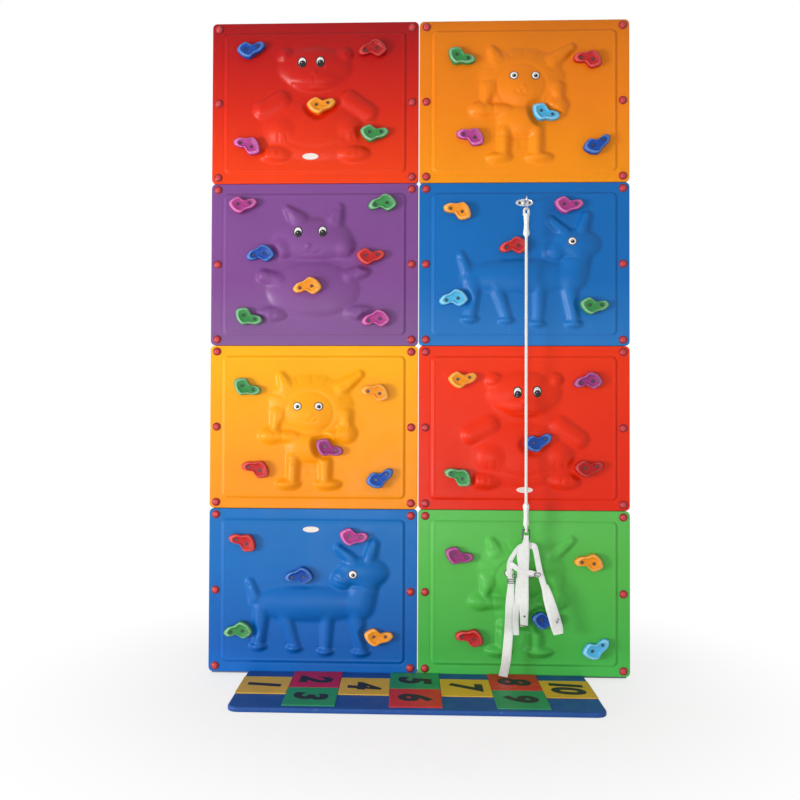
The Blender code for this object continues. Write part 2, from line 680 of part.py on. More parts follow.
def studs_with_caps():
    """Welded studs that pass through the panels, each closed by a domed cap nut."""
    bm = bmesh.new()
    seat = BORDER_Y - SEAT_GAP
    stud = circle(STUD_RADIUS, FASTENER_SIDES)
    for _, column, row, _, _, _ in PANELS:
        centre = panel_centre(column, row)
        for x, z in bolt_points():
            place = (centre[0] + x, centre[1] + z)
            rings = [facing_ring(stud, place, -TUBE_SIZE / 2 + WELD_OVERLAP), facing_ring(stud, place, seat)]
            for share, rise in CAP_PROFILE:
                outline = circle(CAP_RADIUS * share, FASTENER_SIDES)
                rings.append(facing_ring(outline, place, seat - CAP_HEIGHT * rise))
            loft(bm, rings)
    return add_object("studs_with_caps", bm, "red")


# Pad eye, link, rope and carabiner

# The rope is cut so that the harness just clears the mat.
LINK_PIVOT_Z = EYE_Z - EYE_RADIUS + EYE_WIRE + LINK_WIRE + SEAT_GAP
ROPE_PIVOT_Z = LINK_PIVOT_Z - LINK_LENGTH
ROPE_TOP_Z = ROPE_PIVOT_Z - TOP_SPLICE_LENGTH
CARABINER_Z = MAT_THICKNESS + TILE_THICKNESS + HARNESS_CLEARANCE + HARNESS_DROP
CARABINER_TOP_Z = CARABINER_Z + CARABINER_HALF_HEIGHT
CARABINER_LOW_Z = CARABINER_Z - CARABINER_HALF_HEIGHT
ROPE_LOW_Z = CARABINER_TOP_Z + LOW_SPLICE_LENGTH
ROPE_LENGTH = ROPE_TOP_Z - ROPE_LOW_Z


def ellipse_outline(width, height, sides=16):
    return [(width / 2 * x, height / 2 * z) for x, z in circle(1.0, sides, 0.5)]


def build_pad_eye():
    """Oval plate on the panel with a long neck that holds a round eye clear of the holds."""
    place = (ROPE_X, EYE_Z)
    seat = FIELD_Y - SEAT_GAP
    bm = bmesh.new()
    outline = ellipse_outline(PAD_WIDTH, PAD_HEIGHT)
    facing_prism(bm, outline, place, seat, seat - PAD_THICKNESS)
    plate = add_object("pad_eye", bm, "steel", roughness=0.2, metallic=1.0, smooth_angle=40)
    neck = bmesh.new()
    facing_prism(neck, circle(NECK_RADIUS, 8), place, seat - PAD_THICKNESS / 2, ROPE_Y + EYE_RADIUS)
    combine(plate, add_object("pad_neck", neck, "steel"), "UNION")
    ring = bmesh.new()
    tube(ring, [(ROPE_X, ROPE_Y + y, EYE_Z + z) for y, z in circle(EYE_RADIUS, 16)],
         EYE_WIRE, 8, closed=True)
    combine(plate, add_object("pad_ring", ring, "steel"), "UNION")
    screws = bmesh.new()
    for side in (-1, 1):
        head = (ROPE_X + side * PAD_SCREW_SPACING / 2, EYE_Z)
        front = seat - PAD_THICKNESS
        foot, crown = circle(PAD_SCREW_RADIUS, 8), circle(PAD_SCREW_RADIUS * PAD_SCREW_CROWN, 8)
        loft(screws, [facing_ring(foot, head, front + WELD_OVERLAP),
                      facing_ring(foot, head, front - PAD_SCREW_HEIGHT / 2),
                      facing_ring(crown, head, front - PAD_SCREW_HEIGHT)])
    combine(plate, add_object("pad_screws", screws, "steel"), "UNION")


def link_leg(side_x, side_y, steps=5):
    """One leg from beside the top bar to beside the bottom bar, turning a quarter on the way."""
    leg = []
    for step in range(steps):
        share = LINK_BEND + (1 - 2 * LINK_BEND) * step / (steps - 1)
        turn = math.pi / 2 * ((share - LINK_BEND) / (1 - 2 * LINK_BEND)) ** 2
        leg.append((side_x * LINK_TOP_HALF * math.cos(turn),
                    side_y * LINK_BOTTOM_HALF * math.sin(turn), -share * LINK_LENGTH))
    return leg


def link_path():
    """Twisted link: top bar along X, bottom bar along Y."""
    bend = LINK_BEND * LINK_LENGTH / 2
    top_bar = [(x, 0.0, 0.0) for x in (-LINK_TOP_HALF + bend, LINK_TOP_HALF - bend)]
    bottom_bar = [(0.0, y, -LINK_LENGTH) for y in (LINK_BOTTOM_HALF - bend, -LINK_BOTTOM_HALF + bend)]
    return top_bar + link_leg(1, 1) + bottom_bar + list(reversed(link_leg(-1, -1)))


def build_link():
    bm = bmesh.new()
    points = [(ROPE_X + x, ROPE_Y + y, LINK_PIVOT_Z + z) for x, y, z in link_path()]
    tube(bm, points, LINK_WIRE, 8, closed=True)
    add_object("hanging_link", bm, "steel", roughness=0.25, metallic=1.0, smooth_angle=60)


def spindle(bm, eye_end, rope_end, sides=10):
    """A whipped splice: full at the eye, slimmer in the middle, bulged and then tapered to the rope."""
    points = [(ROPE_X, ROPE_Y, eye_end + (rope_end - eye_end) * share) for share, _ in SPLICE_PROFILE]
    tube(bm, points, [radius for _, radius in SPLICE_PROFILE], sides)


def rope_eye(bm, pivot_z, upward, plane_axis, arc_steps=8):
    """Round-ended loop of rope about a bar; plane_axis is 0 for a loop seen face on, 1 for edge on."""
    half = EYE_SLOT_HALF + EYE_ROPE_RADIUS
    points = []
    for step in range(arc_steps + 1):
        angle = math.pi * step / arc_steps
        points.append((half * math.cos(angle), upward * half * math.sin(angle)))
    points += [(-half, -upward * EYE_LEG * share) for share in (0.5, 1.0)]
    points = [(half, -upward * EYE_LEG * share) for share in (1.0, 0.5)] + points
    path = []
    for across, rise in points:
        offset = (across, 0.0) if plane_axis == 0 else (0.0, across)
        path.append((ROPE_X + offset[0], ROPE_Y + offset[1], pivot_z + rise))
    tube(bm, path, EYE_ROPE_RADIUS, ROPE_SIDES)


def plain_rope():
    """The straight stretch, drawn as a bevelled curve."""
    curve = bpy.data.curves.new("rope_line", "CURVE")
    curve.dimensions = "3D"
    curve.bevel_depth = ROPE_RADIUS
    curve.bevel_resolution = 2
    curve.use_fill_caps = True
    line = curve.splines.new("POLY")
    steps = round(ROPE_LENGTH / ROPE_POINT_SPACING)
    line.points.add(steps)
    for step, point in enumerate(line.points):
        point.co = (ROPE_X, ROPE_Y, ROPE_TOP_Z - ROPE_LENGTH * step / steps, 1.0)
    guide = bpy.data.objects.new("rope_line", curve)
    bpy.context.scene.collection.objects.link(guide)
    graph = bpy.context.evaluated_depsgraph_get()
    bm = bmesh.new()
    bm.from_mesh(bpy.data.meshes.new_from_object(guide.evaluated_get(graph), depsgraph=graph))
    bmesh.ops.remove_doubles(bm, verts=bm.verts, dist=MERGE_DISTANCE)
    bpy.data.objects.remove(guide, do_unlink=True)
    return bm


def build_rope():
    """One rope: an eye and a whipped splice at each end of a plain stretch."""
    rope = add_object("safety_rope", plain_rope(), "white_rope", roughness=0.9, smooth_angle=60)
    top = bmesh.new()
    spindle(top, ROPE_PIVOT_Z - EYE_LEG + EYE_ROPE_RADIUS, ROPE_TOP_Z - ROPE_RADIUS)
    combine(rope, add_object("top_splice", top, "white_rope"), "UNION")
    loop = bmesh.new()
    apex = ROPE_PIVOT_Z + LINK_WIRE - EYE_SLOT_HALF + SEAT_GAP
    rope_eye(loop, apex, 1, 0)
    combine(rope, add_object("top_loop", loop, "white_rope"), "UNION")
    low = bmesh.new()
    spindle(low, CARABINER_TOP_Z + EYE_LEG - EYE_ROPE_RADIUS, ROPE_LOW_Z + ROPE_RADIUS)
    combine(rope, add_object("bottom_splice", low, "white_rope"), "UNION")
    loop = bmesh.new()
    apex = CARABINER_TOP_Z - CARABINER_WIRE + EYE_SLOT_HALF - SEAT_GAP
    rope_eye(loop, apex, -1, 1)
    combine(rope, add_object("bottom_loop", loop, "white_rope"), "UNION")


def carabiner_path():
    """Bent bar from the gate's upper end round to its lower end, with four equal corners."""
    side_x = CARABINER_HALF_WIDTH - CARABINER_CORNER
    side_z = CARABINER_HALF_HEIGHT - CARABINER_CORNER
    points = [(CARABINER_HALF_WIDTH, GATE_LENGTH / 2)]
    for turn, (sign_x, sign_z) in enumerate(((1, 1), (-1, 1), (-1, -1), (1, -1))):
        for step in range(5):
            angle = math.radians(90 * turn + 22.5 * step)
            points.append((sign_x * side_x + CARABINER_CORNER * math.cos(angle),
                           sign_z * side_z + CARABINER_CORNER * math.sin(angle)))
    points.append((CARABINER_HALF_WIDTH, -GATE_LENGTH / 2))
    return [(ROPE_X + x, ROPE_Y, CARABINER_Z + z) for x, z in points]


def build_carabiner():
    """Open bent bar with a straight sprung gate on its right side."""
    bm = bmesh.new()
    tube(bm, carabiner_path(), CARABINER_WIRE, 8)
    add_object("carabiner", bm, "dark_steel", roughness=0.3, metallic=1.0, smooth_angle=60)
    gate = bmesh.new()
    gate_x = ROPE_X + CARABINER_HALF_WIDTH
    half = GATE_LENGTH / 2 - GATE_CLEARANCE
    points = [(gate_x, ROPE_Y, CARABINER_Z + end * half + shift * GATE_WIRE)
              for end, shift, _ in GATE_PROFILE]
    tube(gate, points, [GATE_WIRE * share for _, _, share in GATE_PROFILE], 8)
    add_object("carabiner_gate", gate, "dark_steel", roughness=0.3, metallic=1.0, smooth_angle=60)


# Harness. Each strap is a list of stations in strap units: x from the rope, drop z below the
# carabiner's middle, depth y from the rope's plane (negative is towards the climber) and width.

def strap(name, stations, thickness=WEB_THICKNESS, crown=0.0, smooth=40):
    """Webbing swept through its stations with its flat side to the front."""
    spots = [Vector((x * STRAP_UNIT, CARABINER_Z - drop * STRAP_UNIT)) for x, drop, _, _ in stations]
    rings = []
    for index, spot in enumerate(spots):
        before = spots[max(index - 1, 0)]
        after = spots[min(index + 1, len(spots) - 1)]
        along = (after - before).normalized()
        across = Vector((-along.y, along.x))
        half = stations[index][3] * STRAP_UNIT / 2
        depth = stations[index][2] * STRAP_UNIT
        ring = []
        for side, face in ((-1, -1), (0, -1), (1, -1), (1, 1), (0, 1), (-1, 1)):
            point = spot + across * side * half
            bulge = crown if side == 0 else 0.0
            ring.append((ROPE_X + point.x, ROPE_Y + depth + face * (thickness / 2 + bulge), point.y))
        rings.append(ring)
    bm = bmesh.new()
    loft(bm, rings)
    return add_object(name, bm, "white_rope", roughness=0.85, smooth_angle=smooth)


def tie_in_loop():
    """A doubled strap over the carabiner's lower bar, its legs drawn together below."""
    layer = CARABINER_WIRE + SEAT_GAP + WEB_THICKNESS / 2
    closed_half = (WEB_THICKNESS - SEW_OVERLAP) / 2
    bar = CARABINER_LOW_Z
    leg = [(closed_half, bar - TIE_IN_TAIL), (closed_half, bar - TIE_IN_CLOSE),
           (0.6 * layer, bar - TIE_IN_CLOSE / 2), (layer, bar - TIE_IN_CLOSE / 8)]
    arc = [(layer * math.cos(angle), bar + layer * math.sin(angle))
           for angle in (math.pi * step / 6 for step in range(7))]
    path = leg + arc + [(-y, z) for y, z in reversed(leg)]
    rings = []
    for index, (y, z) in enumerate(path):
        before = Vector(path[max(index - 1, 0)])
        after = Vector(path[min(index + 1, len(path) - 1)])
        along = (after - before).normalized()
        normal = Vector((-along.y, along.x))
        ring = []
        for side, face in ((-1, -1), (1, -1), (1, 1), (-1, 1)):
            shift = normal * face * WEB_THICKNESS / 2
            ring.append((ROPE_X + side * TIE_IN_WIDTH / 2, ROPE_Y + y + shift.x, z + shift.y))
        rings.append(ring)
    bm = bmesh.new()
    loft(bm, rings)
    return add_object("tie_in_loop", bm, "white_rope")


def build_harness():
    """Straps sewn into one piece, a padded leg strap in front of it and a slide buckle."""
    layer = (WEB_THICKNESS - SEW_OVERLAP) / STRAP_UNIT
    behind, far_behind = 1.5 * layer, 2.5 * layer
    front, far_front = -1.5 * layer, -2.5 * layer
    harness = strap("harness_webbing",
                    [(-2, 48, front, 40), (-9, 72, front, 58), (-16, 120, front, 66),
                     (-12, 185, front, 52), (-12, 240, front, 50), (-12, 320, front - 1, 50),
                     (-11, 400, front - 2, 48), (-10, 488, front, 42)])
    sewn = [
        tie_in_loop(),
        strap("left_upper_strap",
              [(-4, 55, behind, 24), (-34, 67, behind, 24), (-62, 102, behind, 24),
               (-86, 148, behind, 26), (-88, 200, behind, 30), (-84, 225, behind, 30)]),
        strap("long_strap",
              [(-83, 194, far_behind, 31), (-79, 259, far_behind, 34), (-81, 297, far_behind, 37),
               (-85, 360, far_behind + 2, 44), (-89, 457, far_behind + 3, 46),
               (-92, 530, far_behind + 1, 47), (-99, 610, far_behind - 4, 48),
               (-106, 680, far_behind - 6, 50), (-116, 734, far_behind - 4, 50),
               (-121, HARNESS_DROP / STRAP_UNIT, far_behind - 1, 48)]),
        strap("rear_strap",
              [(-10, 78, behind, 30), (-24, 180, far_behind, 40), (-36, 280, far_behind + 1, 40),
               (-48, 370, behind, 36), (-54, 450, behind - 2, 34), (-52, 536, behind - 4, 30)]),
        strap("right_strap",
              [(0, 59, far_behind, 30), (38, 62, behind, 34), (52, 87, behind, 30),
               (70, 180, behind, 31), (89, 250, behind, 32), (104, 295, behind, 36)]),
        strap("cross_strap",
              [(-96, 148, 0.5 * layer, 26), (-80, 159, 0.5 * layer, 27), (-58, 174, far_front, 28),
               (-19, 197, far_front, 28), (21, 203, far_front, 28), (38, 207, far_front, 28),
               (52, 211, 0.5 * layer, 27), (66, 215, 0.5 * layer, 26)]),
    ]
    for piece in sewn:
        combine(harness, piece, "UNION")
    seat_depth = (WEB_THICKNESS + PAD_STRAP_THICKNESS) / 2 + PAD_CROWN + SEAT_GAP
    pad_depth = behind - seat_depth / STRAP_UNIT
    strap("harness_leg_pad",
          [(99, 270, pad_depth, 34), (108, 300, pad_depth, 46), (121, 347, pad_depth, 56),
           (146, 430, pad_depth, 64), (163, 490, pad_depth, 64), (172, 528, pad_depth, 50)],
          PAD_STRAP_THICKNESS, PAD_CROWN)
    build_buckle(ROPE_Y + far_behind * STRAP_UNIT - WEB_THICKNESS / 2 - SEAT_GAP)


def build_buckle(back_y):
    """Three-bar slide that lies on the long strap."""
    centre = (ROPE_X + BUCKLE_X, CARABINER_Z - BUCKLE_DROP)
    bm = bmesh.new()
    facing_prism(bm, rounded_rectangle(BUCKLE_WIDTH, BUCKLE_HEIGHT, BUCKLE_CORNER, 1), centre,
                 back_y, back_y - BUCKLE_THICKNESS)
    buckle = add_object("harness_buckle", bm, "dark_steel", roughness=0.35, metallic=1.0)
    slots = bmesh.new()
    slot_height = (BUCKLE_HEIGHT - 3 * BUCKLE_BAR) / 2
    half_width = BUCKLE_WIDTH / 2 - BUCKLE_BAR
    for side in (-1, 1):
        slot_z = centre[1] + side * (slot_height + BUCKLE_BAR) / 2
        box(slots, (centre[0] - half_width, back_y - 2 * BUCKLE_THICKNESS, slot_z - slot_height / 2),
            (centre[0] + half_width, back_y + BUCKLE_THICKNESS, slot_z + slot_height / 2))
    combine(buckle, add_object("buckle_slots", slots, "dark_steel"), "DIFFERENCE")


# Landing mat

def mat_outline():
    """Mat seen from above: square-ish rear corners against the wall and rounder front ones."""
    back = BORDER_Y - SEAT_GAP
    front = back - MAT_DEPTH
    left = MAT_CENTRE_X - MAT_LENGTH / 2
    right = MAT_CENTRE_X + MAT_LENGTH / 2
    corners = ((right, back, -1, -1, MAT_BACK_CORNER, 0), (left, back, 1, -1, MAT_BACK_CORNER, 90),
               (left, front, 1, 1, MAT_FRONT_CORNER, 180), (right, front, -1, 1, MAT_FRONT_CORNER, 270))
    points = []
    for x, y, toward_x, toward_y, radius, start in corners:
        centre_x, centre_y = x + toward_x * radius, y + toward_y * radius
        for step in range(5):
            angle = math.radians(start + 90 * step / 4)
            points.append((centre_x + radius * math.cos(angle), centre_y + radius * math.sin(angle)))
    return points


def tile_places():
    """Column and rear edge of each numbered tile: singles and pairs by turns."""
    first = BORDER_Y - SEAT_GAP - TILE_BACK_MARGIN
    for column in range(MAT_COLUMNS):
        if column % 2:
            yield column, first
            yield column, first - TILE_DEPTH
        else:
            yield column, first - TILE_DEPTH / 2 + SINGLE_TILE_SETBACK


def build_mat():
    """One mat: a flat base with ten raised, numbered squares."""
    bm = bmesh.new()
    outline = mat_outline()
    loft(bm, [[(x, y, z) for x, y in outline] for z in (0.0, MAT_THICKNESS)])
    mat = add_object("landing_mat", bm, "blue", roughness=0.55)
    tiles = bmesh.new()
    width = MAT_LENGTH / MAT_COLUMNS
    for column, back in tile_places():
        left = MAT_CENTRE_X - MAT_LENGTH / 2 + column * width
        box(tiles, (left + TILE_SEAM / 2, back - TILE_DEPTH + TILE_SEAM / 2, MAT_THICKNESS / 2),
            (left + width - TILE_SEAM / 2, back - TILE_SEAM / 2, MAT_THICKNESS + TILE_THICKNESS))
    combine(mat, add_object("mat_tiles", tiles, "yellow"), "UNION")


def main():
    clear_scene()
    build_panels()
    build_holds()
    build_frame()
    build_pad_eye()
    build_link()
    build_rope()
    build_carabiner()
    build_harness()
    build_mat()


main()
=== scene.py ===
"""Looks of the climbing wall: moulded panels with animal reliefs, gritty holds, a steel frame,
a safety rope with a webbing harness, and a numbered landing mat.

Metres, +Z up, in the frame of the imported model. The climbing side faces -Y.
"""

import math

import bmesh
import bpy
import numpy as np
from mathutils import Matrix, Vector


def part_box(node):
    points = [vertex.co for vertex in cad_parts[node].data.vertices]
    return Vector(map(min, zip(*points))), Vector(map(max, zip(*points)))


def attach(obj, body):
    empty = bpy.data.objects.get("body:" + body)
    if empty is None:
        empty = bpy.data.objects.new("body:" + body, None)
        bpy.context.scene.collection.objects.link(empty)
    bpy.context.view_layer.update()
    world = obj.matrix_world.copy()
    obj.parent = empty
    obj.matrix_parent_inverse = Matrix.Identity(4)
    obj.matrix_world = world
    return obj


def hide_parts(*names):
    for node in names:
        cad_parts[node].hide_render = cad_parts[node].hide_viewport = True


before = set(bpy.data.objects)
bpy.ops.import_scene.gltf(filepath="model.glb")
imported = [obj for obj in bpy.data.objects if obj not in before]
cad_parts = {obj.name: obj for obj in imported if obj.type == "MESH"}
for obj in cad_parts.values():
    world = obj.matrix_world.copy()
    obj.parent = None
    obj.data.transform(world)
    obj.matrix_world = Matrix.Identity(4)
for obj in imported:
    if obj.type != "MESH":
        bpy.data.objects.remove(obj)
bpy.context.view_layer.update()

# Panels and their layout
PANEL_WIDTH = 1.150
PANEL_HEIGHT = 0.898
PANEL_THICKNESS = 0.050
PANEL_BOTTOM = 0.020
COLUMN_PITCH = 1.155
ROW_PITCH = 0.900
PANEL_CORNER = 0.025
PANEL_EDGE = 0.004
PANEL_BACK_Y = -0.0203
BORDER_Y = PANEL_BACK_Y - PANEL_THICKNESS
FIELD_SIDE_BORDER = 0.068
FIELD_END_BORDER = 0.054
FIELD_RISE = 0.008
FIELD_BEVEL = 0.012
FIELD_CORNER = 0.030
FIELD_Y = BORDER_Y - FIELD_RISE
BACK_RIM = 0.062
BACK_RIB = 0.024
FRONT_WALL = 0.012
PARTING_LINE_Y = -0.045
MM = 0.001

# Reliefs, in millimetres: blends between pads and with the field, lower limbs where they are thin,
# shifts and shares of the softening, and factors on the creases' width and depth
RELIEF_BLEND = 14.0
RELIEF_FOOT = 5.0
RELIEF_EDGE_POWER = 0.70
RELIEF_FLOOR = -2.0
THIN_LIMB = 36.0
THIN_LIMB_POWER = 0.8
SOFTENING = ((-8.0, 0.25), (0.0, 0.5), (8.0, 0.25))
CREASE_WIDTH = 1.25
CREASE_DEPTH = 0.62

# The soft slope round a hold's seat, and the groove and ridge along the field's edge
SEAT_MARGIN = 0.002
SEAT_FADE = 0.040
EDGE_LINE = 0.0012
GROOVE_PLACE, GROOVE_WIDTH = 0.002, 0.003
RIDGE_PLACE, RIDGE_WIDTH = 0.004, 0.004

# A panel's grid lines: from its edge, about the field's bevel, down a hollow's drafted side, and
# on its back
GRID_STEP = 0.006
GRID_EDGE = [0, 0.0006, 0.0018, 0.004, 0.008, 0.014, 0.020, 0.025, 0.033]
GRID_BEVEL = (-0.012, -0.005, -0.001, 0.002, 0.005, 0.008, 0.011, 0.014, 0.018, 0.022, 0.027,
              0.032, 0.037, 0.042)
GRID_DRAFT = (0, 0.0015, 0.004, 0.007, 0.010)
GRID_BACK = (0, 0.004, 0.014, 0.025)
GRID_BACK_SKIP, GRID_BACK_STEP = 20, 10

# Eyes and badges: profiles are lifts at shares of the radius. An eye's form has half sizes of
# white and pupil, the pupil's shift, the share where its rim begins, and the rim's material.
EYE_PROFILE = ((0, 0.0060), (0.5, 0.0052), (0.85, 0.0032), (1, 0.0010))
PUPIL_PROFILE = ((0, 0.0075), (0.6, 0.0068), (1, 0.0045))
GLINT_PROFILE = ((0, 0.0085), (1, 0.0074))
GLINT_SHIFT = (-0.004, 0.003)
GLINT_SIZE = (0.0024, 0.0022)
BADGE_PROFILE = ((0, 0.0022), (0.74, 0.0022), (0.80, 0.0034), (0.94, 0.0034), (1, 0.0015))
BADGE_SIZE = (0.045, 0.0165)
DISC_FOOT = 0.003
EYE_FORMS = {
    "oval": ((0.0245, 0.0310), (0.0172, 0.0200), (0.001, -0.0080), 0.86, "eye_black"),
    "round": ((0.0245, 0.0235), (0.0125, 0.0115), (0.001, -0.002), 0.84, "eye_ring"),
}

# Fasteners and holds: profiles are pairs of radius and rise
BOLT_X = 0.538
BOLT_Z = 0.416
CAP_RADIUS = 0.0225
CAP_HEIGHT = 0.0125
CAP_RING_ROWS = 5
CAP_PROFILE = ((CAP_RADIUS - 0.0006, 0.0), (CAP_RADIUS, 0.0010), (CAP_RADIUS, 0.0030),
               (CAP_RADIUS - 0.0014, 0.0044), (CAP_RADIUS * 0.72, 0.0052),
               (CAP_RADIUS * 0.68, 0.0062), (CAP_RADIUS * 0.62, 0.0088),
               (CAP_RADIUS * 0.50, 0.0110), (CAP_RADIUS * 0.34, 0.0121),
               (CAP_RADIUS * 0.16, CAP_HEIGHT), (0.0, CAP_HEIGHT))
SEAT_GAP = 0.0003
HOLD_HEIGHT = 0.045
HOLD_LENGTH = 0.157
HOLD_TILT, HOLD_TILT_FROM, HOLD_TILT_SPAN = 0.006, 0.026, 0.016
HOLD_LUMP, HOLD_LUMP_X, HOLD_LUMP_Z = 0.0008, (95, 1.3), (120, 0.7)
HOLD_RUB, HOLD_RUB_WIDTH, HOLD_RUB_FROM = 0.84, 0.12, 0.03
HOLD_OUTLINE = [(HOLD_LENGTH * x, HOLD_LENGTH * z) for x, z in (
    (-0.484, 0.000), (-0.401, 0.153), (-0.178, 0.268), (0.064, 0.153), (0.242, 0.204),
    (0.420, 0.217), (0.516, 0.089), (0.382, -0.089), (0.146, -0.185), (-0.064, -0.325),
    (-0.318, -0.229))]
# From a hold's foot to the middle of its dish: the outline's scale, and y
HOLD_LEVELS = (
    (0.950, 0.0), (0.965, -0.003), (0.985, -0.008), (0.997, -0.014), (1.0, -0.020),
    (0.998, -0.026), (0.985, -0.031), (0.955, -0.0355), (0.910, -0.0392), (0.860, -0.0420),
    (0.805, -0.0440), (0.750, -0.0450), (0.695, -0.0446), (0.640, -0.0430), (0.580, -0.0408),
    (0.510, -0.0388), (0.430, -0.0374), (0.340, -0.0366), (0.240, -0.0362), (0.140, -0.0360),
    (0.040, -0.0360))
HOLD_PIT_DEPTH = 0.012
HOLD_PIT_EXTRA = 0.004
HOLD_FLOOR_Y = -HOLD_HEIGHT + HOLD_PIT_DEPTH + HOLD_PIT_EXTRA
HOLD_PIT = ((0.0088, 0.0), (0.0096, 0.0020), (0.0102, 0.0050), (0.0116, 0.0085),
            (0.0134, 0.0120), (0.0134, 0.0400))
HOLD_BOLTS = ((-0.023, 0.000), (0.040, 0.010))
BOLT_HEAD = ((0.0074, 0.0), (0.0074, 0.0010), (0.0060, 0.0010), (0.0060, 0.0056),
             (0.0053, 0.0064), (0.0036, 0.0064))
BOLT_RECESS = 0.0028
BOLT_RECESS_TOP = 0.0062
BOLT_RECESS_FLOOR = 0.0030

# Steel frame
TUBE_SIZE = 0.040
TUBE_WALL = 0.003
TUBE_CORNER = 0.005
SILL_THICKNESS = 0.008
SILL_FRONT = 0.020
SILL_OVERHANG = 0.030
SILL_EDGE = 0.0008
FRAME_TOP = 3.612
RUNG_HEIGHTS = (1.302, 2.604, 3.560)
BRACKET_HEIGHTS = (0.600, 3.100)
BRACKET_TALL = 0.090
BRACKET_STEEL = 0.005
BRACKET_REACH = 0.065
BRACKET_FLANGE = 0.060
BRACKET_HOLE = 0.0065

# Rope line: profiles are pairs of radius and rise, a splice's of share and radius, and the
# gate's stations of height and radius
ROPE_X = COLUMN_PITCH / 2
ROPE_Y = FIELD_Y - 0.088
EYE_Z = 2.604
EYE_RADIUS = 0.0125
EYE_WIRE = 0.0038
EYE_PLATE_HALF = (0.049, 0.0215)
EYE_PLATE = ((0.985, 0.0), (1.0, 0.0012), (1.0, 0.0030), (0.985, 0.0044), (0.95, 0.0052),
             (0.90, 0.0050), (0.82, 0.0040), (0.74, 0.0032), (0.60, 0.0028), (0.0, 0.0028))
EYE_NECK = ((0.0120, 0.0020), (0.0120, 0.0040), (0.0088, 0.0062), (0.0064, 0.0110),
            (0.0055, 0.0200), (0.0055, 0.0600),
            (0.0058, FIELD_Y - SEAT_GAP - ROPE_Y - EYE_RADIUS - 0.001))
EYE_SCREW = ((0.0085, 0.0), (0.0085, 0.0012), (0.0072, 0.0030), (0.0050, 0.0042),
             (0.0026, 0.0046), (0.0022, 0.0026), (0.0, 0.0024))
LINK_WIRE = 0.0026
LINK_LENGTH = 0.056
LINK_END = 0.08
LINK_TOP_HALF = 0.0095
LINK_LOW_HALF = 0.0125
LINK_SIDE_POINTS = 9
LINK_PIVOT_Z = 2.5982
ROPE_PIVOT_Z = LINK_PIVOT_Z - LINK_LENGTH
SPLICE_LENGTH = 0.135
ROPE_TOP_Z = ROPE_PIVOT_Z - SPLICE_LENGTH
CARABINER_Z = 0.800
CARABINER_HALF_WIDTH = 0.0190
CARABINER_HALF_HEIGHT = 0.0270
CARABINER_CORNER = 0.009
CARABINER_CORNER_STEPS = 8
CARABINER_WIRE = 0.0040
CARABINER_TOP_Z = CARABINER_Z + CARABINER_HALF_HEIGHT
CARABINER_LOW_Z = CARABINER_Z - CARABINER_HALF_HEIGHT
GATE_LENGTH = 0.030
GATE_HALF = GATE_LENGTH / 2 - 0.0007
GATE_STATIONS = ((-GATE_HALF, 0.0019), (-GATE_HALF + 0.0010, 0.0026),
                 (-GATE_HALF + 0.0034, 0.0034), (-0.004, 0.0034), (-0.0035, 0.0031),
                 (0.0035, 0.0031), (0.004, 0.0034), (GATE_HALF - 0.0034, 0.0034),
                 (GATE_HALF - 0.0010, 0.0030), (GATE_HALF, 0.0025))
ROPE_LOW_Z = CARABINER_TOP_Z + SPLICE_LENGTH
ROPE_LENGTH = ROPE_TOP_Z - ROPE_LOW_Z
ROPE_RADIUS = 0.008
EYE_ROPE_RADIUS = 0.007
EYE_SLOT_HALF = 0.0045
EYE_LEG = 0.026
SPLICE_PROFILE = ((0.0, 0.0140), (0.06, 0.0155), (0.20, 0.0150), (0.42, 0.0132),
                  (0.66, 0.0140), (0.82, 0.0182), (0.90, 0.0172), (0.96, 0.0120),
                  (1.0, 0.0088))
SPLICE_INSET = 0.0005
WHIPPING_PITCH = 0.0125
WHIPPING_DEPTH = 0.045

# Harness: webbing with its ribs and stitches, straps that lie WEB_LAYER millimetres apart, and the
# roll of their free ends
WEB_THICKNESS = 0.0025
WEB_BODY = WEB_THICKNESS * 0.92
WEB_LAYER = 2.1
WEB_RIBS = 18
WEFT_PITCH = 0.0022
STITCH_PITCH = 0.0065
STITCH_PLACE = 0.38
STITCH_WIDTH = 0.025
TIE_IN_WIDTH = 0.025
LEG_PAD_THICKNESS = 0.009
PAD_SEAM_DEPTH, PAD_SEAM_WIDTH = 0.22, 0.07
PAD_CHANNEL_DEPTH, PAD_CHANNEL_WIDTH, PAD_CHANNEL_PITCH = 0.16, 0.0035, 0.056
CURL = 0.24
CURL_FROM = 0.240
CURL_RISE = 0.12
CURL_PITCH = 0.260
BUCKLE_SHIFT, BUCKLE_DROP = 0.080, 0.250
BUCKLE_HALF, BUCKLE_WIRE = (0.0175, 0.0105), 0.0020
# Rings on the straps: x from the rope and z in millimetres, half sizes and wire in metres
STRAP_RINGS = ((60, 588, 0.015, 0.008, 0.0019), (-62, 580, 0.011, 0.009, 0.0018))
EYELET = ((0.0052, -0.0004), (0.0052, 0.0006), (0.0042, 0.0012), (0.0028, 0.0012),
          (0.0022, 0.0002), (0.0, 0.0002))

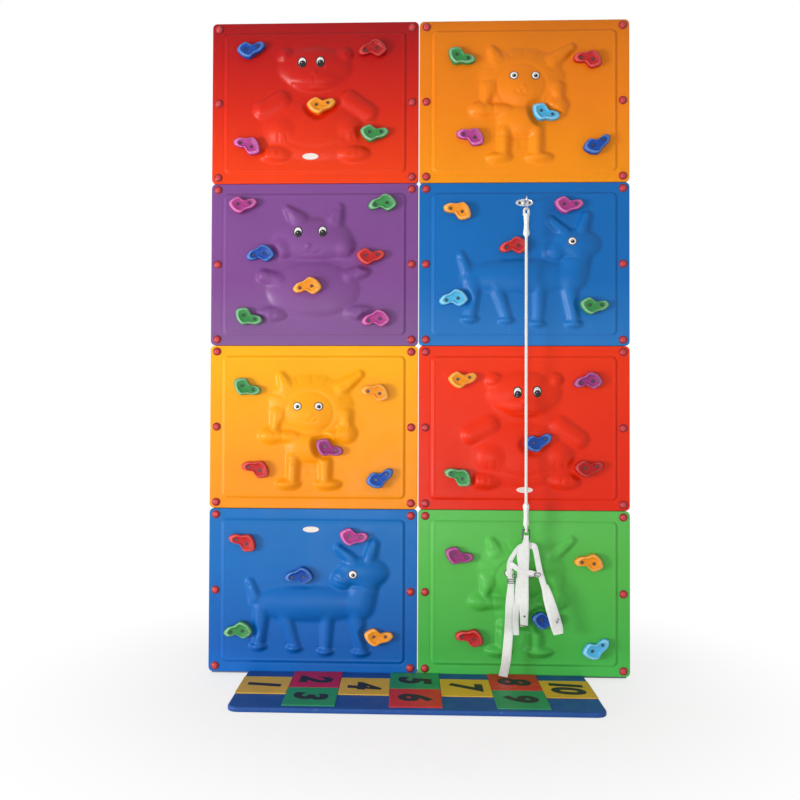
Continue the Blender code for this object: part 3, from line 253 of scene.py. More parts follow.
# Mat
MAT_LENGTH = 1.830
MAT_DEPTH = 0.610
MAT_THICKNESS = 0.026
MAT_CENTRE_X = -0.015
MAT_BACK_CORNER = 0.012
MAT_FRONT_CORNER = 0.050
MAT_BACK_Y = BORDER_Y - SEAT_GAP
MAT_COLUMNS = 7
MAT_ROLL = 0.007
MAT_WAVE = 0.0008
MAT_GRID = 0.016
SLAB_EDGE = (0, 0.12, 0.35, 0.7, 1.1, 1.8)
LOW_ROLL = 0.3
TILE_DEPTH = 0.285
TILE_THICKNESS = 0.004
TILE_BACK_MARGIN = 0.006
TILE_SEAM = 0.002
TILE_CORNER = 0.003
TILE_ROLL = 0.0025
TILE_SINK = 0.004
TILE_GRID = 0.02
SINGLE_TILE_SETBACK = 0.036
TILE_COLOURS = ("tile_yellow", "tile_crimson", "tile_green", "tile_yellow", "tile_green",
                "tile_red", "tile_yellow", "tile_red", "tile_green", "tile_yellow")
DIGIT_HEIGHT = 0.176
DIGIT_WIDTH = 0.230
DIGIT_THICKNESS = 0.0007
DIGIT_SLANT = 0.15
DIGIT_BOLDNESS = 0.048
DIGIT_SPACING = 0.86
DIGIT_SINK = 0.0001

# Camera: place, turns in radians, lens and sensor in millimetres, shift in frame widths
CAMERA_PLACE = (-0.0623, -4.9703, 1.4347)
CAMERA_YAW = -0.0368
CAMERA_PITCH = 0.0184
CAMERA_ROLL = 0.0041
CAMERA_LENS = 40.06
CAMERA_SENSOR = 36
CAMERA_REACH = 60
CAMERA_SHIFT = (0.0323, -0.0013)

# Studio: a plain reflection's share, how much the surroundings light the part, where the floor
# fades out, and each light's place, target, size and power
WHITE = (1.0, 1.0, 1.0, 1.0)
SHEEN = 0.021
WORLD_LIGHT = 0.54
FLOOR_FADE = (0.9, 2.4)
LIGHTS = {
    "key": ((-7.6, -5.2, 0.8), (0.0, -0.1, 1.7), 2.6, 570.0),
    "fill": ((-0.6, -4.6, 0.4), (0.2, -0.1, 0.7), 2.0, 48.0),
}


# Camera and lights

def linked(name, data):
    """A new object in the scene."""
    item = bpy.data.objects.new(name, data)
    bpy.context.scene.collection.objects.link(item)
    return item


def add_camera():
    cos_yaw, sin_yaw = math.cos(CAMERA_YAW), math.sin(CAMERA_YAW)
    cos_pitch, sin_pitch = math.cos(CAMERA_PITCH), math.sin(CAMERA_PITCH)
    right = Vector((cos_yaw, -sin_yaw, 0))
    forward = Vector((cos_pitch * sin_yaw, cos_pitch * cos_yaw, sin_pitch))
    up = Vector((-sin_pitch * sin_yaw, -sin_pitch * cos_yaw, cos_pitch))
    rolled_right = math.cos(CAMERA_ROLL) * right + math.sin(CAMERA_ROLL) * up
    rolled_up = math.cos(CAMERA_ROLL) * up - math.sin(CAMERA_ROLL) * right
    lens = bpy.data.cameras.new("camera")
    lens.lens = CAMERA_LENS
    lens.sensor_width = CAMERA_SENSOR
    lens.shift_x, lens.shift_y = CAMERA_SHIFT
    lens.clip_end = CAMERA_REACH
    camera = linked("camera", lens)
    turn = Matrix((rolled_right, rolled_up, -forward)).transposed()
    camera.matrix_world = Matrix.Translation(CAMERA_PLACE) @ turn.to_4x4()
    bpy.context.scene.camera = camera


def add_area_light(name, place, target, size, power):
    lamp = bpy.data.lights.new(name, "AREA")
    lamp.shape = "DISK"
    lamp.size = size
    lamp.energy = power
    item = linked(name, lamp)
    item.location = place
    item.rotation_euler = (Vector(target) - Vector(place)).to_track_quat("-Z", "Y").to_euler()


# Node helpers

def linear(red, green, blue):
    """A linear colour from 0 to 255 screen values."""
    shares = [value / 255 for value in (red, green, blue)]
    channels = [s / 12.92 if s <= 0.04045 else ((s + 0.055) / 1.055) ** 2.4 for s in shares]
    return (*channels, 1.0)


def under_sheen(colour):
    """The colour below a plain reflection, so that both together look as written."""
    return tuple(max(channel - SHEEN, 0.002) for channel in colour[:3]) + (1.0,)


def scaled(colour, factor):
    return tuple(min(1.0, channel * factor) for channel in colour[:3]) + (1.0,)


class Nodes:
    """Nodes of one material or of the surroundings."""

    def __init__(self, tree):
        self.tree = tree

    def node(self, kind, inputs=(), **settings):
        made = self.tree.nodes.new(kind)
        for key, value in settings.items():
            setattr(made, key, value)
        for key, value in dict(inputs).items():
            if isinstance(value, bpy.types.NodeSocket):
                self.tree.links.new(value, made.inputs[key])
            else:
                made.inputs[key].default_value = value
        return made

    def map(self, value, low, high, to_low=0.0, to_high=1.0, kind="LINEAR"):
        inputs = {0: value, 1: low, 2: high, 3: to_low, 4: to_high}
        return self.node("ShaderNodeMapRange", inputs, interpolation_type=kind).outputs[0]

    def math(self, operation, first, second=0.0):
        return self.node("ShaderNodeMath", {0: first, 1: second}, operation=operation).outputs[0]

    def seen(self):
        """One for rays from the camera, a mirror or glass, and zero for rays that only light."""
        rays = self.node("ShaderNodeLightPath").outputs
        direct = self.math("MAXIMUM", rays["Is Camera Ray"], rays["Is Glossy Ray"])
        return self.math("MAXIMUM", direct, rays["Is Transmission Ray"])


class Surface(Nodes):
    """A Principled material whose inputs are fed by procedural nodes."""

    def __init__(self, name, metallic=0.0, specular=0.5):
        self.material = bpy.data.materials.new(name)
        self.material.use_nodes = True
        super().__init__(self.material.node_tree)
        self.shader = self.tree.nodes["Principled BSDF"]
        self.shader.inputs["Metallic"].default_value = metallic
        self.shader.inputs["Specular IOR Level"].default_value = specular
        self.height = None

    def place(self, kind="Object", stretch=None):
        out = self.node("ShaderNodeTexCoord").outputs[kind]
        if stretch:
            out = self.node("ShaderNodeMapping", {"Vector": out, "Scale": stretch}).outputs[0]
        return out

    def noise(self, scale, detail, roughness=0.5, stretch=None):
        inputs = {"Vector": self.place(stretch=stretch), "Scale": scale, "Detail": detail,
                  "Roughness": roughness}
        return self.node("ShaderNodeTexNoise", inputs).outputs["Fac"]

    def axis(self, name, kind="Object"):
        return self.node("ShaderNodeSeparateXYZ", {0: self.place(kind)}).outputs[name]

    def wave(self, value, length):
        return self.math("SINE", self.math("MULTIPLY", value, 2 * math.pi / length))

    def ramp(self, value, stops):
        """A colour ramp through (position, colour) stops."""
        made = self.node("ShaderNodeValToRGB", {0: value})
        elements = made.color_ramp.elements
        while len(elements) < len(stops):
            elements.new(0.5)
        for element, (position, colour) in zip(elements, stops):
            element.position = position
            element.color = colour
        return made.outputs[0]

    def toned(self, value, colour, low, high, shade, light=1.0):
        """The colour, from its shade where the value is low to its light where it is high."""
        return self.ramp(value, [(low, scaled(colour, shade)), (high, scaled(colour, light))])

    def mix(self, factor, first, second, blend="MIX"):
        inputs = {0: factor, 6: first, 7: second}
        return self.node("ShaderNodeMix", inputs, data_type="RGBA", blend_type=blend).outputs[2]

    def shaded(self, colour, shade):
        """The colour times a grey."""
        grey = self.node("ShaderNodeCombineColor", {0: shade, 1: shade, 2: shade}).outputs[0]
        return self.mix(1.0, colour, grey, "MULTIPLY")

    def mottled(self, colour, scale, amount):
        """The colour made a little lighter and darker in soft patches."""
        patches = self.map(self.noise(scale, 4.0), 0.3, 0.7, 1 - amount, 1 + amount)
        return self.shaded(colour, patches)

    def colour(self, value):
        self.tree.links.new(value, self.shader.inputs["Base Color"])

    def roughness(self, low, high, scale, stretch=None):
        value = self.map(self.noise(scale, 4.0, stretch=stretch), 0.35, 0.65, low, high)
        self.tree.links.new(value, self.shader.inputs["Roughness"])

    def bump(self, value, distance, strength):
        """Add one layer of relief on top of the earlier ones."""
        inputs = {"Height": value, "Distance": distance, "Strength": strength}
        if self.height is not None:
            inputs["Normal"] = self.height
        self.height = self.node("ShaderNodeBump", inputs).outputs[0]
        self.tree.links.new(self.height, self.shader.inputs["Normal"])


# Materials

def moulded_plastic(name, stops, bottom):
    """Panel plastic: its own hue and painted shade and light shift from the lower edge to the top,
    with faint scuffs.
    """
    surface = Surface(name, specular=0.25)
    share = surface.map(surface.axis("Z"), bottom, bottom + PANEL_HEIGHT)
    # The ramp's stops carry painted shade and light as well as the plastic's hue
    tones = [(position, under_sheen(linear(*colour))) for position, colour in stops]
    base = surface.mottled(surface.ramp(share, tones), 3.5, 0.035)
    scuffs = surface.noise(30, 8, 0.7, (1.0, 1.0, 0.25))
    worn = surface.map(scuffs, 0.64, 0.80, 0.0, 0.05)
    surface.colour(surface.mix(worn, base, (0.9, 0.88, 0.85, 1.0)))
    surface.roughness(0.34, 0.46, 9)
    surface.bump(surface.noise(260, 2), 0.0005, 0.35)
    surface.bump(surface.noise(18, 3), 0.004, 0.20)
    return surface.material


def gritty_resin(name, colour, rim_colour):
    """Hold resin: sandy, with painted shade darkening it at its foot, and rubbed pale where u marks
    its rim.
    """
    surface = Surface(name, specular=0.35)
    grain = surface.noise(700, 3, 0.7)
    base = surface.mottled(under_sheen(linear(*colour)), 60, 0.08)
    rim = surface.map(surface.axis("X", "UV"), 0.30, 0.90, 0.0, 0.90)
    rubbed = surface.math("MULTIPLY", rim, surface.map(surface.noise(90, 5), 0.3, 0.6, 0.55, 1.0))
    base = surface.mix(rubbed, base, linear(*rim_colour))
    # Painted shade: the resin darkens towards its foot, where it meets the panel
    foot = surface.map(surface.axis("Y"), -0.014, 0.0, 0.0, 0.35)
    base = surface.mix(foot, base, scaled(linear(*colour), 0.45))
    surface.colour(surface.shaded(base, surface.map(grain, 0.30, 0.70, 0.86, 1.12)))
    surface.roughness(0.42, 0.60, 40)
    surface.bump(grain, 0.0006, 0.6)
    surface.bump(surface.noise(120, 4), 0.0012, 0.4)
    return surface.material


def metal(name, colour, low, high):
    """Metal with fine drawn marks and uneven polish."""
    drawn = (1.0, 1.0, 12.0)
    surface = Surface(name, metallic=1.0)
    surface.colour(surface.toned(surface.noise(35, 5, 0.6), linear(*colour), 0.25, 0.75, 0.82))
    surface.roughness(low, high, 60, drawn)
    surface.bump(surface.noise(160, 3, 0.6, drawn), 0.0002, 0.4)
    return surface.material


def paint(name, colour, dust):
    """Powder coat with a fine orange peel and a little dust."""
    surface = Surface(name, specular=0.4)
    patches = surface.noise(12, 6, 0.65)
    surface.colour(surface.ramp(patches, [(0.45, linear(*colour)), (0.85, linear(*dust))]))
    surface.roughness(0.42, 0.55, 14)
    surface.bump(surface.noise(520, 2), 0.0004, 0.4)
    return surface.material


def plain_plastic(name, colour, low, high, scale=60, peel=0.0003):
    """A small moulding: near even colour, faint unevenness."""
    surface = Surface(name, specular=0.4)
    surface.colour(surface.toned(surface.noise(scale, 4), linear(*colour), 0.3, 0.7, 0.9))
    surface.roughness(low, high, scale)
    surface.bump(surface.noise(scale * 9, 2), peel, 0.35)
    return surface.material


def braided(name, colour, groove, strands_round, strand_length):
    """Braided cover in the map of a round cord: u once round, v in metres along. The groove colour
    is painted shade between the strands.
    """
    surface = Surface(name, specular=0.2)
    across = surface.math("MULTIPLY", surface.axis("X", "UV"), strands_round * 2 * math.pi)
    along = surface.math("MULTIPLY", surface.axis("Y", "UV"), 2 * math.pi / strand_length)
    first = surface.math("SINE", surface.math("ADD", along, across))
    second = surface.math("SINE", surface.math("SUBTRACT", along, across))
    braid = surface.math("MAXIMUM", first, second)
    # Painted shade: the grooves between the strands take the darker groove colour
    tones = [(0.0, linear(*groove)), (0.5, linear(*colour))]
    base = surface.ramp(surface.map(braid, -0.4, 1.0), tones)
    surface.colour(surface.mottled(base, 300, 0.04))
    surface.roughness(0.75, 0.9, 80)
    surface.bump(braid, 0.0012, 0.8)
    return surface.material


def woven(name, colour, groove, stitched=False):
    """Webbing: ribs along, weft across and, where stitched, two rows near the edges. The groove
    colour is painted shade in the weave's hollows, and the stitch rows go part way to it.

    The map runs from 0 to 1 across in u, and in metres along in v."""
    surface = Surface(name, specular=0.2)
    across = surface.axis("X", "UV")
    along = surface.axis("Y", "UV")
    ribs = surface.wave(across, 1 / WEB_RIBS)
    weave = surface.math("MULTIPLY", ribs, surface.wave(along, WEFT_PITCH))
    # Painted shade: the weave's hollows take the darker groove colour
    tones = [(0.0, linear(*groove)), (0.45, linear(*colour))]
    base = surface.ramp(surface.map(weave, -1.0, 1.0), tones)
    if stitched:
        from_middle = surface.math("ABSOLUTE", surface.math("SUBTRACT", across, 0.5))
        row = surface.math("COMPARE", from_middle, STITCH_PLACE)
        row.node.inputs[2].default_value = STITCH_WIDTH
        dash = surface.map(surface.wave(along, STITCH_PITCH), -0.2, 0.1)
        thread = surface.math("MULTIPLY", row, dash)
        # The stitch rows are drawn part way to the groove colour
        base = surface.mix(surface.math("MULTIPLY", thread, 0.55), base, linear(*groove))
        surface.bump(thread, 0.0010, 0.7)
    surface.colour(surface.mottled(base, 40, 0.04))
    surface.roughness(0.72, 0.88, 50)
    surface.bump(weave, 0.0007, 0.6)
    return surface.material


def vinyl(name, colour):
    """Coated mat fabric: fine grain, soft creases and scuffs."""
    surface = Surface(name, specular=0.3)
    base = surface.toned(surface.noise(6, 6, 0.6), linear(*colour), 0.25, 0.75, 0.86, 1.06)
    scuff = surface.map(surface.noise(45, 8, 0.75), 0.60, 0.80, 0.0, 0.20)
    surface.colour(surface.mix(scuff, base, (0.75, 0.75, 0.75, 1.0)))
    surface.roughness(0.44, 0.60, 10)
    grain = surface.node("ShaderNodeTexVoronoi", {"Vector": surface.place(), "Scale": 420.0})
    surface.bump(grain.outputs["Distance"], 0.0005, 0.35)
    surface.bump(surface.noise(9, 4), 0.006, 0.25)
    return surface.material


# Panels: colours by screen value, from the lower edge to the top
# Besides each plastic's own hue shift, the stops hold painted shade and light of the wall's
# lighting
PANEL_COLOURS_AND_SHADE = {
    "panel_row4_left_red": ((0.0, (240, 74, 38)), (0.45, (214, 54, 40)), (0.8, (184, 43, 42)),
                            (1.0, (160, 40, 44))),
    "panel_row4_right_orange": ((0.0, (249, 152, 38)), (0.5, (243, 136, 36)),
                                (0.85, (230, 129, 36)), (1.0, (214, 119, 36))),
    "panel_row3_left_purple": ((0.0, (133, 96, 148)), (0.4, (130, 82, 143)),
                               (1.0, (130, 84, 146))),
    "panel_row3_right_blue": ((0.0, (58, 125, 194)), (0.4, (25, 112, 184)), (1.0, (14, 110, 182))),
    "panel_row2_left_yellow": ((0.0, (242, 146, 35)), (0.3, (248, 154, 34)),
                               (0.6, (250, 164, 34)), (1.0, (252, 177, 40))),
    "panel_row2_right_red": ((0.0, (226, 56, 37)), (0.5, (233, 61, 38)), (1.0, (239, 66, 41))),
    "panel_row1_left_blue": ((0.0, (4, 110, 192)), (0.16, (6, 100, 180)), (0.65, (26, 110, 182)),
                             (1.0, (44, 114, 184))),
    "panel_row1_right_green": ((0.0, (84, 190, 90)), (0.16, (80, 180, 82)), (0.65, (92, 186, 83)),
                               (1.0, (100, 190, 93))),
}

# The other materials by maker: what it takes after the name
FINISHES = (
    (gritty_resin, {
        "hold_red": ((188, 50, 52), (222, 92, 88)),
        "hold_magenta": ((172, 68, 138), (222, 128, 190)),
        "hold_blue": ((24, 80, 165), (92, 140, 205)),
        "hold_green": ((66, 142, 80), (150, 196, 160)),
        "hold_orange": ((238, 148, 44), (250, 190, 104)),
        "hold_purple": ((150, 60, 118), (186, 112, 160)),
        "hold_light_blue": ((84, 178, 222), (158, 218, 244)),
        "hold_dark_red": ((172, 38, 42), (198, 72, 70))}),
    (metal, {
        "polished_steel": ((214, 216, 220), 0.16, 0.30),
        "zinc_steel": ((170, 172, 176), 0.28, 0.45),
        "dark_steel": ((92, 94, 100), 0.28, 0.42)}),
    (paint, {"frame_paint": ((112, 115, 120), (150, 150, 148))}),
    (plain_plastic, {
        # One red plastic: the ring painted darker as shade, the dome lighter as a painted highlight
        "cap_dome": ((206, 62, 66), 0.30, 0.42),
        "cap_ring": ((146, 26, 40), 0.34, 0.48),
        "eye_white": ((240, 238, 234), 0.22, 0.34, 80, 0.0001),
        "eye_black": ((22, 18, 20), 0.16, 0.28, 80, 0.0001),
        "eye_ring": ((96, 70, 60), 0.3, 0.4, 80, 0.0001),
        "blank_plate": ((236, 226, 218), 0.3, 0.42),
        "print_black": ((28, 30, 32), 0.55, 0.70)}),
    # Second colour: painted shade in the braid's grooves
    (braided, {
        "rope_cover": ((250, 252, 248), (214, 214, 208), 8, 0.020),
        "splice_cover": ((250, 252, 249), (220, 222, 216), 3, WHIPPING_PITCH)}),
    # Second colour: painted shade in the weave's grooves
    (woven, {
        "webbing": ((251, 253, 250), (232, 235, 231), True),
        "webbing_plain": ((250, 252, 249), (230, 233, 229)),
        "pad_cloth": ((251, 253, 250), (234, 237, 233))}),
    (vinyl, {
        "mat_blue": ((30, 78, 150),),
        "tile_yellow": ((222, 178, 52),),
        "tile_crimson": ((196, 28, 74),),
        "tile_red": ((208, 46, 44),),
        "tile_green": ((44, 150, 92),)}),
)
MATERIALS = {}


def make_materials():
    for name, stops in PANEL_COLOURS_AND_SHADE.items():
        row = int(name[len("panel_row")]) - 1
        MATERIALS[name] = moulded_plastic(name, stops, PANEL_BOTTOM + row * ROW_PITCH)
    for maker, rows in FINISHES:
        for name, values in rows.items():
            MATERIALS[name] = maker(name, *values)


# Mesh helpers

def add_mesh(name, points, faces, materials, body=None, uvs=None, sharp=40, slots=None, fix=True):
    """A smooth-shaded mesh object in the part's frame. uvs holds one pair for each point."""
    mesh = bpy.data.meshes.new(name)
    mesh.from_pydata([tuple(point) for point in points], [], faces)
    for material in [materials] if isinstance(materials, str) else materials:
        mesh.materials.append(MATERIALS[material])
    if slots is not None:
        mesh.polygons.foreach_set("material_index", slots)
    if uvs is not None:
        layer = mesh.uv_layers.new(name="surface")
        corners = np.empty(len(mesh.loops), dtype=int)
        mesh.loops.foreach_get("vertex_index", corners)
        layer.data.foreach_set("uv", np.asarray(uvs, dtype=np.float32)[corners].ravel())
    if fix:
        bm = bmesh.new()
        bm.from_mesh(mesh)
        bmesh.ops.recalc_face_normals(bm, faces=bm.faces)
        bm.to_mesh(mesh)
        bm.free()
    mesh.shade_smooth()
    mesh.set_sharp_from_angle(angle=math.radians(sharp))
    item = linked(name, mesh)
    if body:
        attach(item, body)
    return item


def skin(rings, closed=False, caps=True):
    """Points and faces through rings of equal length."""
    count = len(rings[0])
    points = [point for ring in rings for point in ring]
    faces = []
    spans = len(rings) if closed else len(rings) - 1
    for index in range(spans):
        first, second = index * count, (index + 1) % len(rings) * count
        for step in range(count):
            following = (step + 1) % count
            faces.append((first + step, first + following, second + following, second + step))
    if caps and not closed:
        faces.append(tuple(reversed(range(count))))
        faces.append(tuple(range(len(points) - count, len(points))))
    return points, faces


def joined(parts):
    """Several (points, faces) shells as one."""
    points, faces = [], []
    for part_points, part_faces in parts:
        base = len(points)
        points.extend(part_points)
        faces.extend(tuple(base + corner for corner in face) for face in part_faces)
    return points, faces


def grid(tall, wide):
    """Point numbers of a grid, its faces, and its rim's (row, column) places in order."""
    ids = np.arange(wide * tall).reshape(tall, wide)
    corners = [ids[:-1, :-1], ids[:-1, 1:], ids[1:, 1:], ids[1:, :-1]]
    rim = ([(0, i) for i in range(wide)] + [(j, wide - 1) for j in range(1, tall)]
           + [(tall - 1, i) for i in range(wide - 2, -1, -1)]
           + [(j, 0) for j in range(tall - 2, 0, -1)])
    return ids, np.stack(corners, -1).reshape(-1, 4).tolist(), rim


def band(near, far):
    """Faces between two rings of point numbers."""
    return list(zip(near, far, far[1:] + far[:1], near[1:] + near[:1]))


def circle(sides):
    """Cosine and sine at equal steps once round."""
    angles = [2 * math.pi * step / sides for step in range(sides)]
    return [(math.cos(angle), math.sin(angle)) for angle in angles]


def smooth_line(points, per_span, closed=False):
    """A Catmull-Rom line through points of any dimension."""
    known = [np.array(point, dtype=float) for point in points]
    count = len(known)
    line = []
    for index in range(count if closed else count - 1):
        if closed:
            p0, p1, p2, p3 = (known[(index + shift) % count] for shift in (-1, 0, 1, 2))
        else:
            p0, p1 = known[max(index - 1, 0)], known[index]
            p2, p3 = known[index + 1], known[min(index + 2, count - 1)]
        for step in range(per_span):
            t = step / per_span
            line.append(0.5 * (2 * p1 + (p2 - p0) * t + (2 * p0 - 5 * p1 + 4 * p2 - p3) * t * t
                               + (3 * p1 - p0 - 3 * p2 + p3) * t ** 3))
    if not closed:
        line.append(known[-1])
    return line


def mapped_bar(path, radii, sides, closed=False):
    """A round bar along a path, with its map: u once round, v in metres along."""
    spots = [Vector(point) for point in path]
    count = len(spots)
    radii = [radii] * count if isinstance(radii, (int, float)) else list(radii)
    rings, uvs, normal, along = [], [], None, 0.0
    for index, centre in enumerate(spots):
        before = spots[index - 1] if index or closed else centre
        after = spots[(index + 1) % count] if index < count - 1 or closed else centre
        direction = (after - before).normalized()
        if normal is None:
            normal = Vector((0, 1, 0)) if abs(direction.y) < 0.9 else Vector((1, 0, 0))
        normal = (normal - direction * normal.dot(direction)).normalized()
        side = direction.cross(normal)
        along += (centre - before).length if index else 0.0
        rings.append([tuple(centre + radii[index] * (cos * normal + sin * side))
                      for cos, sin in circle(sides)])
        uvs.extend((step / sides, along) for step in range(sides))
    points, faces = skin(rings, closed)
    return points, faces, uvs


def bar(path, radii, sides, closed=False):
    """A round bar along a path."""
    return mapped_bar(path, radii, sides, closed)[:2]


def rippled_bead(path, radius, ripple, pace, closed=True):
    """A weld bead whose radius rises and falls along its path."""
    radii = [radius + ripple * math.sin(index * pace) for index in range(len(path))]
    return bar(path, radii, 8, closed)


def turned_body(profile, centre, sides):
    """A body turned about an axis along -Y, from (radius, rise) pairs."""
    x, y, z = centre
    return skin([[(x + max(radius, 1e-5) * cos, y - rise, z + max(radius, 1e-5) * sin)
                  for cos, sin in circle(sides)] for radius, rise in profile])


# Relief figures in millimetres from the panel's centre. Pads are ellipses or tapering limbs;
# creases are lines with a width and a depth.

def dome(x, z, half_width, half_height, rise):
    return ("dome", x, z, half_width, half_height, rise)


def limb(x0, z0, radius0, x1, z1, radius1, rise):
    return ("limb", x0, z0, radius0, x1, z1, radius1, rise)


def crease(points, width, depth):
    return points, width, depth


def toe_creases(x, z, spacing=38, length=26):
    half = spacing / 2
    return [crease([(x + side * half, z), (x + side * half + side * 3, z - length)], 6, 4)
            for side in (-1, 1)]


def cat_figure():
    pads = [dome(-7, 138, 224, 118, 44), dome(-176, 90, 63, 63, 38), dome(162, 98, 63, 63, 38),
            limb(-88, 240, 58, -150, 306, 22, 34), limb(112, 240, 54, 142, 314, 22, 32),
            dome(-27, 94, 22, 15, 54), dome(-7, -146, 260, 158, 38),
            limb(-190, -90, 42, -279, -67, 40, 32), limb(190, -70, 42, 272, -39, 40, 32),
            dome(-239, -279, 95, 45, 32), dome(257, -271, 95, 45, 32)]
    creases = [crease([(-205, 40), (-110, 24), (0, 28), (90, 22), (190, 12)], 10, 6),
               crease([(-28, 80), (-26, 58)], 5, 4),
               crease([(-86, 76), (-62, 56), (-26, 58), (10, 54), (40, 72)], 6, 5),
               crease([(-146, 296), (-116, 246)], 10, 6), crease([(136, 298), (120, 246)], 10, 6),
               crease([(-246, -44), (-226, -96)], 7, 4), crease([(236, -22), (222, -78)], 7, 4),
               crease([(-150, -250), (-60, -278), (50, -284), (160, -262)], 10, 4)]
    return pads, creases + toe_creases(-244, -262) + toe_creases(262, -254)


def donkey_figure():
    pads = [dome(275, 104, 143, 88, 44), dome(168, 66, 68, 60, 40),
            limb(219, 170, 34, 144, 236, 26, 32), limb(310, 180, 38, 336, 262, 28, 32),
            limb(290, 40, 76, 255, -70, 88, 36), dome(-11, -69, 345, 95, 38),
            limb(-312, -40, 34, -344, 46, 24, 24), limb(-281, -100, 48, -293, -291, 32, 25),
            limb(-154, -120, 40, -94, -300, 28, 22), limb(84, -130, 38, 76, -318, 28, 22),
            limb(243, -130, 46, 271, -318, 30, 25), dome(-298, -305, 48, 24, 32),
            dome(-98, -312, 44, 22, 30), dome(72, -330, 44, 22, 30), dome(268, -332, 48, 24, 32)]
    creases = [crease([(150, 230), (184, 202), (212, 180)], 10, 7),
               crease([(334, 256), (324, 214)], 10, 6),
               crease([(116, 62), (156, 42), (206, 34), (262, 34)], 7, 6),
               crease([(206, 34), (290, 24), (372, 8)], 8, 4), crease([(134, 86), (146, 82)], 7, 7),
               crease([(-344, -284), (-298, -290), (-252, -284)], 6, 5),
               crease([(-140, -294), (-98, -300), (-58, -294)], 6, 5),
               crease([(30, -311), (72, -317), (114, -311)], 6, 5),
               crease([(222, -312), (268, -318), (314, -312)], 6, 5),
               crease([(-356, 34), (-344, 24)], 6, 5), crease([(252, 190), (262, 158)], 7, 5),
               crease([(280, 192), (284, 160)], 7, 5)]
    return pads, creases


def maned_figure():
    pads = [dome(-12, 124, 236, 165, 34), limb(-190, 70, 50, -214, -5, 24, 28),
            limb(172, 70, 50, 190, -5, 24, 28), limb(150, 212, 48, 256, 290, 24, 30),
            limb(-150, 222, 46, -178, 280, 26, 28), dome(-20, 77, 130, 112, 44),
            dome(-12, 65, 18, 13, 53), limb(-100, -55, 40, -190, -50, 34, 30),
            limb(90, -55, 40, 140, -42, 34, 30), dome(-235, -49, 70, 47, 32),
            dome(177, -33, 66, 60, 32), dome(-12, -104, 140, 95, 36),
            limb(-110, -170, 38, -114, -290, 34, 28), limb(67, -170, 38, 67, -290, 34, 28),
            dome(-138, -316, 75, 30, 34), dome(83, -316, 80, 30, 34)]
    face_ring = [(-20 + 134 * math.cos(angle), 77 + 116 * math.sin(angle))
                 for angle in np.linspace(0, 2 * math.pi, 25)]
    tufts = []
    for degrees in (-8, 18, 42, 64, 88, 112, 136, 158, 184):
        angle = math.radians(degrees)
        tufts.append(crease([(-12 + 176 * math.cos(angle), 124 + 124 * math.sin(angle)),
                             (-12 + 228 * math.cos(angle), 124 + 160 * math.sin(angle))], 8, 4))
    creases = [crease(face_ring, 9, 5), crease([(-13, 50), (-14, 34)], 5, 4),
               crease([(-52, 42), (-32, 28), (-14, 32), (6, 26), (26, 40)], 6, 5),
               crease([(176, 234), (246, 282)], 10, 6), crease([(-154, 240), (-170, 270)], 8, 5),
               crease([(-172, -16), (-166, -84)], 7, 5), crease([(122, 4), (128, -80)], 7, 5),
               crease([(-238, -14), (-212, -34)], 6, 5), crease([(188, 14), (166, -10)], 6, 5),
               crease([(-142, -192), (-60, -204), (40, -202), (112, -186)], 8, 6),
               crease([(-20, -206), (-22, -252)], 8, 6),
               crease([(-212, -322), (-138, -332), (-66, -322)], 6, 5),
               crease([(6, -324), (84, -334), (160, -322)], 6, 5)]
    return pads, creases + tufts


def bear_figure():
    pads = [dome(0, 190, 205, 118, 38), dome(-165, 262, 46, 42, 28), dome(165, 262, 46, 42, 28),
            dome(0, 128, 150, 70, 46), dome(0, 150, 34, 20, 52),
            limb(-190, 10, 60, -290, -40, 52, 26), limb(190, 10, 60, 296, -60, 54, 26),
            dome(-6, -150, 285, 175, 30), dome(-172, -158, 88, 80, 36), dome(186, -150, 80, 72, 34),
            dome(-216, -290, 95, 46, 32), dome(216, -290, 95, 46, 32)]
    creases = [crease([(-120, 98), (-60, 82), (0, 88), (60, 82), (120, 98)], 8, 6),
               crease([(0, 128), (0, 92)], 6, 5),
               crease([(-188, 262), (-166, 280), (-146, 262)], 7, 5),
               crease([(188, 262), (166, 280), (146, 262)], 7, 5),
               crease([(-130, -236), (0, -262), (130, -236)], 10, 4)]
    fingers = toe_creases(-176, -186, 42, 34) + toe_creases(190, -176, 42, 34)
    return pads, creases + fingers + toe_creases(-222, -272) + toe_creases(222, -272)


FIGURES = {"cat": cat_figure(), "donkey": donkey_figure(), "maned": maned_figure(),
           "bear": bear_figure()}

# Holds on each panel: colour, place in shares of the half width and half height, turn in degrees
RED_BEAR_TOP = [("blue", -0.62, 0.65, 5), ("dark_red", 0.56, 0.64, 180), ("orange", 0.06, -0.05, 0),
                ("green", 0.57, -0.40, -8), ("magenta", -0.64, -0.54, 152)]
ORANGE_MANED = [("green", -0.61, 0.53, -28), ("red", 0.60, 0.49, 162),
                ("light_blue", 0.19, -0.17, -28), ("magenta", -0.51, -0.45, 155),
                ("blue", 0.68, -0.56, 20)]
PURPLE_CAT = [("magenta", -0.69, 0.73, -3), ("green", 0.66, 0.74, 180), ("blue", -0.51, 0.12, 180),
              ("red", 0.54, 0.09, -4), ("orange", -0.05, -0.29, 180), ("green", -0.63, -0.66, -28),
              ("magenta", 0.60, -0.68, 180)]
BLUE_DONKEY = [("orange", -0.63, 0.65, 155), ("magenta", 0.41, 0.71, -8), ("red", -0.10, 0.21, 180),
               ("light_blue", -0.67, -0.43, 180), ("green", 0.65, -0.52, -8)]
YELLOW_MANED = [("green", -0.64, 0.48, -28), ("orange", 0.60, 0.43, 160),
                ("purple", 0.15, -0.26, -28), ("red", -0.54, -0.51, 155), ("blue", 0.64, -0.62, 20)]
